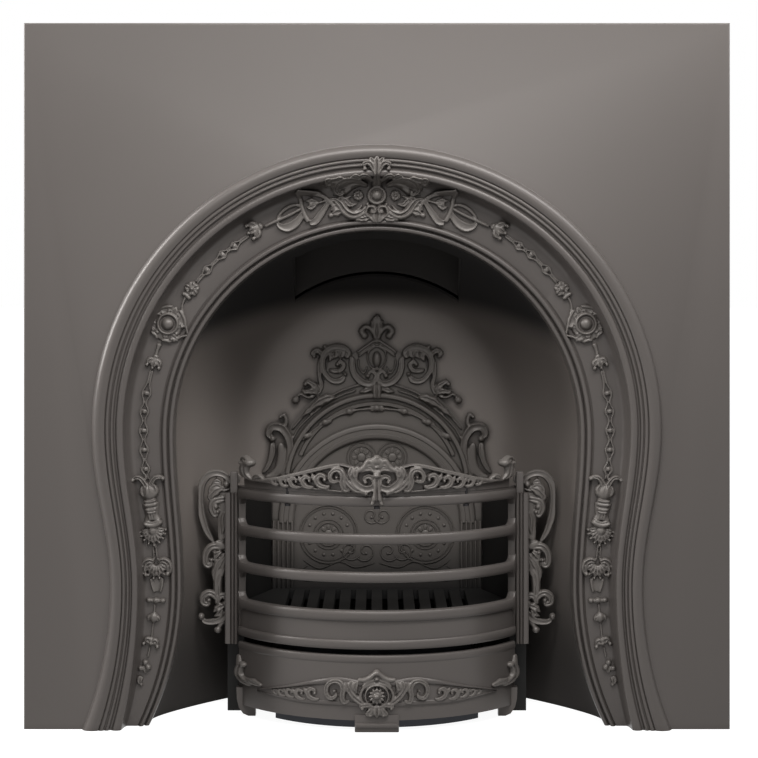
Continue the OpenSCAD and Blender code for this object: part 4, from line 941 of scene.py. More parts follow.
NICHE_FRONT = OPENING_DEPTH + 0.3
SPLAY_CURVE = 1.33
TURN_SHARE = 0.94
THROAT_HALF = 120.0
THROAT_FRONT = 96.0
THROAT_REAR = 196.0
NECK_TOP = 706.0
NECK_FLANGE = 20.0
NECK_FLANGE_T = 6.0
NECK_LOW = 560.0
THROAT_CUT_Z = 480.0
RIB_X = 80.0
RIB_HALF = 4.0
RIB_FRONT = 239.0
RIB_REAR = 251.0
RIB_LOW = 20.0
RIB_HIGH = 500.0


def splay(share):
    """How far the walls have turned in, with a rounded turn into the flat back."""
    bend = max(0.0, (share - 0.9) / 0.1)
    return TURN_SHARE * share ** SPLAY_CURVE + (1 - TURN_SHARE) * (1 - math.sqrt(1 - bend * bend))


def niche_place(share, s, step):
    """A point of the hood's wall: share 0 at the arch and 1 at the back, s along the arch."""
    way = outward(s)
    front = guide_point(3, s)
    front = (front[0] + step * way[0], front[1] + step * way[1])
    if s < LEG_SHARE or s > 1 - LEG_SHARE:
        back = (way[0] * (BACK_HALF + step), front[1])
    else:
        back = (way[0] * (BACK_HALF + step),
                ARCH_CENTRE[3] + way[1] * (BACK_CROWN_Z - ARCH_CENTRE[3] + step))
    t = splay(share)
    return place(mix(front[0], back[0], t), mix(NICHE_FRONT, NICHE_DEPTH + step, share),
                 mix(front[1], back[1], t))


HOOD_MIDDLE_Z = ARCH_CENTRE[3]
NICHE_ROUNDING = 0.17
NICHE_STATIONS = 150
NICHE_ROWS = 44


def niche_reach(reach, s, step):
    """The inside of the hood: reach 0 at the arch, 1 where the wall meets the back, 2 on the centre line."""
    wall = niche_place(min(1.0, reach), s, step)
    inward = max(0.0, reach - 1)
    return Vector((wall.x * (1 - inward), wall.y, mix(wall.z, HOOD_MIDDLE_Z * MM, inward)
                   if LEG_SHARE <= s <= 1 - LEG_SHARE else wall.z))


def rounded_reach(reach, s, step):
    """The same with the turn from wall to back rounded off, as a moulder's fillet leaves it."""
    window = min(NICHE_ROUNDING, 0.5 * reach, 0.5 * (2 - reach))
    total = Vector()
    for k in range(-3, 4):
        total += niche_reach(reach + window * k / 3, s, step)
    return total / 7


def niche_wall(bm, step):
    """The splayed wall and the flat back, as one side of the casting."""
    shaped_grid(bm, NICHE_STATIONS, NICHE_ROWS, lambda u, v: rounded_reach(2 * v ** 1.1, u, step))


def build_niche():
    """The hood with its throat cut out, its neck, and the fittings outside it."""
    bm = bmesh.new()
    niche_wall(bm, 0)
    niche_wall(bm, NICHE_T)
    shaped_grid(bm, NICHE_STATIONS, 1, lambda u, v: niche_place(0, u, v * NICHE_T))
    closed(bm)
    niche = piece("niche_hood", bm, rear_iron)
    cutter = bmesh.new()
    box(cutter, (-THROAT_HALF, THROAT_FRONT, THROAT_CUT_Z), (THROAT_HALF, THROAT_REAR, NECK_TOP + 5))
    cut_shape(niche, cutter)
    finish_where(niche, hood_iron, faces_the_fire)
    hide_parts("niche")
    neck = bmesh.new()
    neck_ring(neck, 0, NICHE_T, NECK_LOW, NECK_TOP)
    neck_ring(neck, 0, NECK_FLANGE, NECK_TOP - NECK_FLANGE_T, NECK_TOP)
    neck = piece("niche_neck", neck, rear_iron)
    cut_shape(neck, niche_core())
    finish_where(neck, throat_iron, inside_the_throat)
    fittings = bmesh.new()
    add_fittings(fittings)
    piece("niche_lugs_and_ribs", fittings, rear_iron)


# The middle of the fire: how far behind the plate's face, and its top
FIRE_DEPTH = 60.0
FIRE_TOP = 400.0


def faces_the_fire(centre, normal):
    """True inside the hood, where a face looks towards the middle of the hearth."""
    fire = Vector((0.0, PLATE_Y + FIRE_DEPTH * MM, min(centre.z, FIRE_TOP * MM)))
    return normal.dot(fire - centre) > 0


def inside_the_throat(centre, _normal):
    """True on the neck's inner faces, which line the throat."""
    depth = (centre.y - PLATE_Y) / MM
    return abs(centre.x) < (THROAT_HALF + 0.5) * MM and THROAT_FRONT - 0.5 < depth < THROAT_REAR + 0.5


def niche_core():
    """The room inside the hood as a closed form, to cut the neck off where it meets the roof."""
    bm = bmesh.new()
    niche_wall(bm, NICHE_T / 2)

    def mouth(u, v):
        edge = niche_place(0, u, NICHE_T / 2)
        return Vector((edge.x * (1 - v), edge.y, edge.z * (1 - v)))

    shaped_grid(bm, NICHE_STATIONS, 1, mouth)
    closed(bm)
    bmesh.ops.recalc_face_normals(bm, faces=bm.faces)
    return bm


def neck_ring(bm, grow_in, grow_out, low, high):
    """A square tube round the throat, from one height to another."""
    corners = ((-1, 0), (1, 0), (1, 1), (-1, 1), (-1, 0))
    rows = ((grow_in, low), (grow_in, high), (grow_out, high), (grow_out, low), (grow_in, low))

    def laid(share, point):
        grow, z = point
        side, back = corners[round(share * 4)]
        depth = (THROAT_REAR + grow) if back else (THROAT_FRONT - grow)
        return place(side * (THROAT_HALF + grow), depth, z)

    swept(bm, 4, rows, laid)


def add_fittings(bm):
    """Lugs that take the screws, and two stiffening ribs down the flat back."""
    for s, out in BOSS_PLACES:
        x, z = guide_point(3, s)
        way = outward(s)
        for side in (-1, 1):
            turned(bm, [(4.3, 62.5), (4.3, 69.5), (11.4, 69.5), (12, 69), (12, 62.5), (4.3, 62.5)],
                   side * (x + out * way[0]), z + out * way[1])
    for side in (-1, 1):
        box(bm, (side * RIB_X - RIB_HALF, RIB_FRONT, RIB_LOW),
            (side * RIB_X + RIB_HALF, RIB_REAR, RIB_HIGH), 1.2)


# ---- Fireback ----

FIREBACK_FACE = 228.7
FIREBACK_T = 6.0
LEG_OUTER = 155.0
LEG_INNER = 124.0
LEG_PROUD = 5.5
FLUTES = 4
SPRING_Z = 258.0
RIM_ARC_Z = 309.0
SILL_LOW = 135.7
SILL_HIGH = 143.7
ROUND_STATIONS = 72
STUD_SPOTS = ((139.5, 60.0), (139.5, 300.0))


def on_fireback(x, z, height):
    """On the face of the fireback."""
    return place(x, FIREBACK_FACE - height, z)


def arch_band(bm, z, profile, start):
    """Sweeps a profile of (radius, height) points about the middle line's (0, z), up to the crown."""
    def laid(share, point):
        radius, height = point
        angle = math.radians(mix(start, 90, share))
        return on_fireback(radius * math.cos(angle), z + radius * math.sin(angle), height)

    swept(bm, ROUND_STATIONS, profile, laid)


FIREBACK_OUTLINE = [
    (0, 530.5), (11.5, 521.5), (30, 508), (41, 501.5), (58.5, 506), (70.5, 497.5), (75, 480),
    (78, 462), (88.5, 443), (110.5, 422), (127, 400), (133, 377.5), (139, 355.5), (149, 333), (155, 315.5),
    (155, 0), (0, 0),
]


def fireback_body():
    """The plate, its fluted legs, the plain bands, the rims and a sill between the legs."""
    bm = bmesh.new()
    plate = bm.faces.new([bm.verts.new(on_fireback(x, z, 0)) for x, z in FIREBACK_OUTLINE])
    pulled(bm, [plate], (0, FIREBACK_T * MM, 0))
    # Fluted legs
    section = [(0, -3), (0, 4.6), (0.03, LEG_PROUD)]
    for k in range(FLUTES):
        low, high = mix(0.06, 0.94, (k + 0.12) / FLUTES), mix(0.06, 0.94, (k + 0.88) / FLUTES)
        section += [(mix(low, high, j / 6), LEG_PROUD - 2.6 * math.sin(math.pi * j / 6)) for j in range(7)]
    section += [(0.97, LEG_PROUD), (1, 4.6), (1, -3)]
    straight(bm, section, lambda share, point: on_fireback(
        mix(LEG_INNER, LEG_OUTER, point[0]), mix(0, SPRING_Z, share), point[1]))
    # Plain band over the panel, then the rim over the beaded groove
    band = [(122.5, -3), (122.5, 1.5), (125, 4.6), (127, 5.2), (131, 5.2), (132, 4.4), (138, 4.2),
            (139, 5.2), (143, 5.2), (145, 4.4), (147, 1.2), (147, -3)]
    arch_band(bm, SPRING_Z - 3, band, 0)
    arch_band(bm, RIM_ARC_Z, [(118, 0.3), (120, 2.8), (124.5, 3.0), (126, 0.5)], 22)
    rim = [(130, -3), (130, 2.8), (131.5, 5.4), (134, 6.2), (136.5, 5.6), (138, 3.0), (139.5, 0.4),
           (139.5, -3)]
    arch_band(bm, RIM_ARC_Z, rim, 8)
    mirrored(bm)
    box(bm, (-LEG_INNER + 4, FIREBACK_FACE - 12, SILL_LOW), (LEG_INNER - 4, FIREBACK_FACE + 1, SILL_HIGH), 1)
    return bm


def panel_ring(art, x, z, radii):
    """Fine rings about one middle."""
    for radius, width, height in radii:
        art.strap(spiral(x, z, radius, radius, 0, 360, 20), width, height, ends=(0, 0), steps=40, sides=4)


def fireback_panel():
    """Shallow rosettes and running scrolls on the sunk panel."""
    art = Relief(on_fireback)
    for spot in ((23, 351), (72, 237)):
        big = spot == (72, 237)
        radii = [(17, 1.0, 1.5), (22, 0.8, 1.2)] + ([(43, 1.1, 1.5), (39, 0.7, 1.0)] if big else [])
        panel_ring(art, spot[0], spot[1], radii)
        art.ball(spot[0], spot[1], 6, 2.0)
        art.petals(spot[0], spot[1], 6.5, 15, 8, 2.6, 1.3)
        if big:
            for k in range(14):
                a = math.tau * k / 14
                art.ball(spot[0] + 31 * math.cos(a), spot[1] + 31 * math.sin(a), 2.2, 1.4)
    art.volute(spiral(39.5, 213, 16, 3, 200, 650, 20), 0.9, 1.4, 2.0)
    art.volute(spiral(17, 211.5, 16, 3, -20, -460, 20), 0.9, 1.4, 2.0)
    art.volute(spiral(8.5, 265, 14, 3, 170, 620, 20), 0.9, 1.3, 2.0)
    art.volute(spiral(101.5, 177.5, 13, 3, 90, -330, 20), 0.9, 1.3, 2.0)
    art.strap([(110.5, 199.5), (85.5, 186.5), (55.5, 196.5), (32, 188), (1, 195)], 0.9, 1.4, sides=4)
    art.strap([(1, 318.5), (17, 305), (38, 309.5), (55.5, 296), (70.5, 297.5)], 0.9, 1.4, sides=4)
    mirrored(art.bm)
    piece("fireback_panel_tracery", art.bm, fireback_iron, crease=60)


def fireback_ornament():
    """Finial, gable, scrolls, sprays, beads and ears over the fireback's rim."""
    art = Relief(on_fireback, sink=5.0)
    # Finial with its three lobes
    art.strap([(0, 526), (0, 537.5), (0.5, 548), (0.5, 563)], [4.5, 7.5, 5.5, 2.0], [6, 8, 8, 5], form_leaf)
    art.volute([(1, 530.5), (10, 543), (18, 545), (23, 538.5), (18.5, 532.5)], [3, 3.6, 4, 4, 3],
               [6, 7, 7, 6, 5], 5.5)
    art.leaf([(1, 540.5), (5.5, 550.5), (10.5, 556)], 3.4, 6)
    art.leaf([(0, 546.5), (2.5, 555.5), (0.5, 564.5)], 4.4, 7)
    art.ball(0, 525, 4.5, 7)
    # Gable bars and the drop between them
    art.strap([(1.5, 526), (15.5, 517), (30.5, 506)], 2.2, 6.2, ends=(0.03, 0.03))
    art.strap([(1.5, 519), (13, 512), (28.5, 500.5)], 1.8, 5.4, ends=(0.03, 0.03))
    art.ball(0, 497, 6.2, 7.5, 11)
    art.strap([(0, 517), (11.5, 509), (13.5, 496), (7.5, 485), (0, 482)], 1.3, 4.5, ends=(0, 0))
    # U strap with its inner scroll
    art.volute([(35.5, 502), (37, 492), (34, 477), (24.5, 465), (11.5, 460.5), (2.5, 466), (2, 475),
                (9, 479.5), (13.5, 472.5)], [3.6, 4.2, 4.6, 5.0, 4.6, 3.2, 2.6, 2.4, 2.4],
               [5, 6, 7, 7, 7, 6, 5.5, 5, 5], 3.6, form_channel)
    art.strap([(27.5, 499), (26.5, 486), (19.5, 476.5), (14, 487.5)], 1.4, 4.5)
    # C scroll with an acanthus over its back
    art.volute([(38, 498.5), (45.5, 510.5), (60, 514.5), (74.5, 508.5), (81, 494.5), (78.5, 478.5),
                (67, 465.5), (53.5, 466), (47, 475)], [3.8, 4.8, 5.4, 5.2, 4.2, 3.4, 3.6, 4.4, 3.4],
               [6, 7.5, 8, 8, 6.5, 5.5, 6, 6, 5], 3.0, form_channel)
    art.leaf([(41, 508), (43, 502), (47.5, 497)], 4.6, 8, 1)
    art.leaf([(49, 511.5), (50.5, 503.5), (56.5, 498)], 5.0, 8.5, 1)
    art.leaf([(58.5, 512), (59.5, 503.5), (65.5, 497.5)], 5.0, 8.5, 1)
    art.leaf([(68, 508), (68.5, 499), (72.5, 493.5)], 4.4, 8, 1)
    art.volute([(72, 482), (63, 479.5), (53.5, 481), (49, 489), (54.5, 493.5), (58.5, 489.5)],
               [2.4, 3.2, 3.6, 3.4, 3, 2.6], [5, 6, 7, 7, 6, 5], 3.4, form_leaf)
    # Sprays that curl out over the edge
    art.volute([(78, 493.5), (81.5, 504), (88.5, 510), (95, 506.5), (93, 501.5)], [2.4, 3.6, 4.2, 3.6, 2.6],
               [4, 6, 7, 6, 5], 3.2, form_leaf)
    art.leaf([(73.5, 502), (75.5, 511), (80.5, 517.5)], 3.8, 6)
    art.ball(77.5, 516.5, 2.6, 6)
    art.strap([(84, 500.5), (86, 487.5), (85.5, 472.5), (82.5, 459), (85.5, 449), (93, 443)],
              [2.6, 2.4, 2.6, 3, 2.6, 2], 5, form_channel)
    art.leaf([(85.5, 449), (93, 457.5), (103, 464), (110, 460.5)], 5.4, 8, 3)
    art.leaf([(87, 446), (97.5, 449.5), (107.5, 449), (112.5, 454.5)], 5.2, 8, 3)
    art.ball(93.5, 454, 4.4, 7)
    art.ball(106.5, 460, 3.4, 7)
    art.strap([(91.5, 442), (103, 440.5), (113, 445), (118.5, 442)], [2.6, 2.2, 2, 2.4], 4.5)
    art.ball(121, 436.5, 5.6, 6.5)
    # Straps that run down to the ears, with a leaf laid over them
    art.strap([(21.5, 460), (41, 454.5), (63, 445), (88.5, 428.5), (110.5, 411), (127.5, 391)], 1.5, 4.0,
              ends=(0.02, 0.02))
    art.strap([(29, 451.5), (53, 443.5), (75, 431), (97.5, 414), (116.5, 394), (127, 374.5)], 1.5, 4.0,
              ends=(0.02, 0.02))
    art.leaf([(61.5, 441.5), (76.5, 438), (91.5, 429.5), (105.5, 418)], 7.6, 8, 4, base=2)
    art.leaf([(88.5, 429.5), (101.5, 420.5), (113.5, 410)], 4.2, 6, 2, base=2)
    # Drop under the middle that bites the rim
    art.strap([(0, 460.5), (0, 450.5), (0, 437.5)], [5.5, 6.5, 5.5], [6, 8, 8], form_leaf, base=2)
    art.leaf([(5.5, 454.5), (17, 450.5), (28, 448)], 4.6, 5, 2)
    # Bosses on a thread in the groove
    bosses = ((0, 424.5), (41, 419.5), (76.5, 403.5), (104.5, 383), (119.5, 360))
    art.strap(list(bosses), 1.4, 3.2, ends=(0, 0), base=1)
    for x, z in bosses[:4]:
        art.ball(x, z, 6.0, 6.5, 5.2)
        art.ball(x - 7, z + 1.5, 3.4, 4.0)
        art.ball(x + 7, z - 2.5, 3.4, 4.0)
    # Ears: a rolled scroll with a leaf tip and two lines that sweep down to the leg
    art.volute([(142.5, 321.5), (132, 339), (128.5, 361.5), (131.5, 381), (142.5, 395), (156, 395.5),
                (160.5, 386), (154.5, 379)], [3.6, 4.4, 5, 5.4, 6, 5.4, 4.4, 3.2], [4, 5, 6, 7, 8, 8, 7, 6],
               4.6, form_channel)
    art.strap([(170.5, 326.5), (161, 340), (155.5, 357), (155, 374.5)], [2.0, 3.4, 4.2, 3.2], [3, 5, 6, 5],
              form_channel)
    art.strap([(167, 321.5), (155, 324), (144.5, 336), (141, 355.5), (144, 374.5)], [3, 5, 6, 6, 4], 3.0)
    art.volute([(139, 392.5), (134.5, 405), (138, 415), (143.5, 411)], [3.4, 3, 2.6, 2.2], 5, 2.6)
    return art.finish("fireback_ornament", fireback_iron, voxel=1.15)


def build_fireback():
    """The fireback with its tracery, its ornament and the cast-on studs."""
    body = piece("fireback", fireback_body(), fireback_iron)
    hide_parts("fireback")
    fireback_panel()
    fireback_ornament()
    studs = bmesh.new()
    for x, z in STUD_SPOTS:
        turned(studs, [(0, 234), (3, 234), (3, 248.2), (2.2, 249), (0, 249)], x, z, 20)
    mirrored(studs)
    piece("fireback_studs", studs, rear_iron)


# ---- Front bars: bowed bars, fret and end posts ----

POST_X = 197.0
POST_TOP_W = 10.5
POST_FRONT = 88.1
POST_REAR = 102.1
POST_LOW = 100.0
FILLET_TOP = 313.0
POST_HIGH = 343.0
BARS_HALF = 201.0
TOP_BAR_Z = 313.0
BAR_PITCH = 52.0
BAR_HALF_H = 7.0
FRET_BEAD_Z = 118.0
FRET_BEAD_HALF_H = 6.5
BAR_CORNER = 11.0
HOOK_X = 204.5
HOOK_HEIGHTS = (150.0, 270.0)
HOOK_HALF = 4.5
HOOK_REAR = 128.7
HOOK_T = 6.0
HOOK_DROP = 17.5
CREST_STEP_Z = 323.0
BOW_STATIONS = 120
BAR_FACE = ((-13, -0.94), (-12, -1), (-3.6, -1), (-1.6, -0.9), (-0.5, -0.66), (-0.05, -0.3), (0, 0),
            (-0.05, 0.3), (-0.5, 0.66), (-1.6, 0.9), (-3.6, 1), (-12, 1), (-13, 0.94))


def round_bow(turn, z, out):
    """A place on the bow, turned so many radians from the middle."""
    return place((BOW_R + out) * math.sin(turn), BOW_CENTRE - (BOW_R + out) * math.cos(turn), z)


def on_bow(x, z, out):
    """A place on the bow, so far from the middle line."""
    return round_bow(math.asin(max(-1.0, min(1.0, x / BOW_R))), z, out)


def bow_turn(u, half):
    """Stations round the bow that lie closer together towards the posts."""
    return math.asin(half / BOW_R) * math.sin(math.pi * (u - 0.5))


def corner_rise(turn):
    """How far a bar swells as it runs into its post, in a quarter round."""
    gone = BAR_CORNER - BOW_R * (math.asin(POST_X / BOW_R) - abs(turn))
    gone = max(0.0, min(BAR_CORNER, gone))
    return BAR_CORNER - math.sqrt(BAR_CORNER ** 2 - gone ** 2)


def bowed_bar(bm, z, half_h, low_corner, high_corner, half=BARS_HALF, deep=1.0):
    """A bar round the bow, with corners that swell where it meets its posts."""
    def laid(share, point):
        out, side = point
        turn = bow_turn(share, half)
        rise = corner_rise(turn) * (high_corner if side > 0 else low_corner)
        return round_bow(turn, z + side * (half_h + rise), out * deep)

    swept(bm, BOW_STATIONS, BAR_FACE + BAR_FACE[:1], laid)
    closed(bm)


def bowed_plate(bm, low_z, high_z, back, front, half=BARS_HALF):
    """A plain band round the bow."""
    ring = [(back, low_z), (front, low_z), (front, high_z), (back, high_z), (back, low_z)]
    swept(bm, BOW_STATIONS, ring, lambda share, point: round_bow(bow_turn(share, half), point[1], point[0]))
    closed(bm)


POST_SECTION = (
    (0, 14), (0, 3.6), (0.5, 2.2), (1.4, 1.0), (2.5, 0.5), (3.6, 1.0), (4.4, 2.2), (4.8, 4.2), (5.3, 2.2),
    (6.2, 1.0), (7.3, 0.5), (8.4, 1.0), (9.2, 2.2), (9.7, 4.2), (10.6, 2.4), (12, 2.0), (16.4, 2.0),
    (17.6, 2.8), (18, 4.2), (18, 14),
)


def post_side(bm):
    """An end post: two fillets and a flat, then a plain top that the crest leans on."""
    straight(bm, POST_SECTION + POST_SECTION[:1], lambda share, point: place(
        POST_X + point[0], POST_FRONT + point[1], mix(POST_LOW, FILLET_TOP, share)))
    closed(bm)
    box(bm, (POST_X, POST_FRONT + 3, FILLET_TOP - 1), (POST_X + POST_TOP_W, POST_REAR, POST_HIGH), 1.5)


def bar_hooks(bm):
    """Hooks behind a post that hang in the cheek's slots."""
    low, high = HOOK_X - HOOK_HALF, HOOK_X + HOOK_HALF
    for z in HOOK_HEIGHTS:
        box(bm, (low, POST_REAR - 1, z - HOOK_HALF), (high, HOOK_REAR, z + HOOK_HALF), 0.8)
        box(bm, (low, HOOK_REAR - HOOK_T, z - HOOK_DROP), (high, HOOK_REAR, z), 0.8)


def build_bars():
    """Four bowed bars, the fret and its bead, and the end posts with their hooks."""
    bm = bmesh.new()
    for k in range(4):
        bowed_bar(bm, TOP_BAR_Z - k * BAR_PITCH, BAR_HALF_H, 1.0, 0.0 if k == 0 else 1.0)
    bowed_bar(bm, FRET_BEAD_Z, FRET_BEAD_HALF_H, 0.0, 0.0)
    bowed_plate(bm, FRET_BEAD_Z, TOP_BAR_Z - 3 * BAR_PITCH, -9, -4)
    # Step that the crest stands on
    bowed_plate(bm, TOP_BAR_Z, CREST_STEP_Z, -12, -3)
    # Webs that close the slots between the bars at their posts
    for side in (-1, 1):
        low, high = math.asin(POST_X / BOW_R), math.asin(BARS_HALF / BOW_R)
        ring = [(-12.8, low), (-2.2, low), (-2.2, high), (-12.8, high), (-12.8, low)]
        straight(bm, ring, lambda share, point: round_bow(
            side * point[1], mix(FRET_BEAD_Z, TOP_BAR_Z, share), point[0]))
    right = bmesh.new()
    post_side(right)
    bar_hooks(right)
    mirrored(right)
    bars = piece("front_bars", bm, blackleaded_iron, "basket_front")
    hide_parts("front_bars")
    piece("bar_posts", right, blackleaded_iron, "basket_front")


# ---- Top crest ----

CREST_LOW = 323.5
CREST_BACK = -6.5
CREST_RIM_H = 26.0
CREST_STATIONS = 150
# The crest's top edge, from the middle outwards
CREST_TOP = [
    (0.0, 360.0), (11.5, 363.5), (18.5, 358), (26.5, 359), (37.5, 361.5), (49, 364), (61, 363), (80.5, 358),
    (99, 353), (120, 347.5), (140, 342), (160.5, 338), (178.5, 337), (188.5, 339),
]


def crest_plate(bm):
    """The thin bowed plate behind the ornament, with a rolled rim along its top edge."""
    section = [(0, CREST_BACK), (0, -2.2), (0.78, -2.4), (0.82, -0.6), (0.87, 1.3), (0.92, 2.0), (0.97, 1.2),
               (1.0, -0.6), (1.0, CREST_BACK), (0, CREST_BACK)]

    def laid(share, point):
        up, out = point
        here = spline_point(CREST_TOP, share)
        high = here.y - CREST_LOW
        rim = 1 - (1 - up) * min(1.0, CREST_RIM_H / high)
        return on_bow(here.x, CREST_LOW + high * (rim if up > 0.75 else up), out)

    swept(bm, CREST_STATIONS, section, laid)
    closed(bm)


def rolling_acanthus(art, spots, lay_size):
    """Leaves that shrink along a rail, each a curl with a tip turned back over it."""
    for k, (x, z) in enumerate(spots):
        size = lay_size * (1 - 0.13 * k)
        art.at(x, z, 0, size)
        art.volute([(-9, -6), (-4, -8), (3, -6), (6, 0), (3, 5), (-2, 4), (-3, 0)],
                   [1.2, 2.4, 3.0, 3.2, 2.8, 2.2, 1.6], [3, 4.5, 5.5, 6, 5.5, 5, 4.5], 1.8, form_leaf)
        art.leaf([(5, -2), (9, 2), (12, 7)], 2.8, 5)
    art.at(0, 0)


def crest_ornament():
    """Cartouche, drop, volutes and rolling leaves on the crest."""
    art = Relief(on_bow, sink=4.0)
    # Hood over the cartouche, then its side scrolls
    art.strap([(0, 356), (10, 368.5), (17.5, 359), (28, 354), (34.5, 356)], [2.4, 3.2, 3.2, 3.0, 2.0],
              [7, 6.5, 6, 6, 4])
    art.ball(0, 352, 5.0, 9.0, 5.5)
    art.ball(0, 368, 8.5, 8.0, 6.0)
    art.ball(0, 373, 4.2, 8.0, 3.2)
    art.leaf([(0, 352), (9, 361), (16, 355)], 3.0, 7)
    art.ball(0, 360, 3.0, 9.0)
    art.volute([(33.5, 354), (32, 344.5), (25.5, 335.5), (15, 330), (4.5, 333.5), (4, 342), (10, 347.5),
                (17, 344.5), (15, 339.5)], [2.8, 3.6, 4.4, 4.6, 4.0, 3.2, 2.8, 2.4, 2.2],
               [5, 6.5, 7.5, 8, 7.5, 7, 6.5, 6.5, 7], 2.6, form_channel)
    art.strap([(23.5, 352.5), (14, 355.5), (4.5, 354), (0, 338)], 1.8, [4, 6, 7, 7])
    art.leaf([(22.5, 332), (18.5, 326.5), (12.5, 324)], 3.4, 6.5)
    art.ball(14, 324, 3.0, 7.0)
    # Lobes where the acanthus folds over the strap
    art.leaf([(25.5, 361.5), (28.5, 350.5), (26.5, 340)], 3.8, 7.5)
    art.leaf([(32, 361.5), (35.5, 351.5), (34.5, 341)], 3.6, 7.0)
    art.strap([(7.5, 326), (26.5, 328), (37.5, 337), (43.5, 348), (48, 360)], [2.2, 3.2, 3.6, 3.0, 1.8],
              [4, 6, 7, 6, 4], form_leaf)
    # Great volute
    art.volute([(33.5, 331.5), (41.5, 328.5), (46, 337), (45, 347.5), (49.5, 355), (57, 355), (62.5, 348.5),
                (61, 340.5), (54, 340), (53.5, 345.5)], [2.4, 3.6, 4.0, 4.0, 3.6, 3.2, 3.2, 2.8, 2.4, 2.0],
               [4, 6, 7.5, 8, 7.5, 7, 7, 6.5, 6, 6], 2.2, form_leaf)
    rolling_acanthus(art, [(73.5, 341.5), (94, 339), (112, 337), (127, 336), (140, 335.5)], 1.22)
    art.strap([(x, z - 2.6) for x, z in CREST_TOP[5:13]], [2.4, 2.6, 2.0, 1.4], [4.5, 5, 4, 3], form_leaf,
              (0.05, 0.05), 60)
    art.strap([(34.5, 325.5), (64.5, 327.5), (99, 330), (134, 332.5), (166.5, 334)], 0.9, 2.4,
              ends=(0.02, 0.02), steps=60)
    # Knob, reeded shaft and flared foot of the drop
    art.ball(0, 348.5, 5.0, 12.0, 4.2)
    art.strap([(0, 345.5), (0, 334.5), (0, 324), (0, 313)], [4.0, 4.6, 5.4, 7.4], [8, 9.5, 9.5, 11],
              form_leaf, (0.05, 0.08))
    for side in (-1, 1):
        art.leaf([(side * 3, 317), (side * 6, 311), (side * 9, 307.4)], 2.2, 9)
    # Rolled leaves that stand up at the ends of the rail
    art.volute([(175.5, 334.5), (182.5, 341), (183.5, 351), (179.5, 359.5), (184.5, 363.5), (188.5, 357)],
               [2.2, 3.6, 4.6, 4.6, 3.8, 2.6], [4, 6, 8, 8, 7, 6], 3.0, form_leaf)
    art.ball(177.5, 358, 4.6, 9.0, 5.2)
    art.leaf([(183, 336.5), (189, 345.5), (190, 356.5)], 3.4, 5)
    art.leaf([(172.5, 336.5), (165, 341), (156.5, 338.5)], 3.0, 5)
    return art.finish("top_crest_acanthus", ornament_iron, voxel=0.95, body="basket_front")


def build_crest():
    """The crest on the top bar."""
    bm = bmesh.new()
    crest_plate(bm)
    mirrored(bm)
    crest = piece("top_crest", bm, blackleaded_iron, "basket_front")
    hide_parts("top_crest")
    crest_ornament()


# ---- Side wings ----

WING_FACE = 104.4
WING_REACH = 253.4


def on_wing(x, z, height):
    """On the face of a wing, never past the reach that clears the hood."""
    return place(min(x, WING_REACH), WING_FACE - height, z)


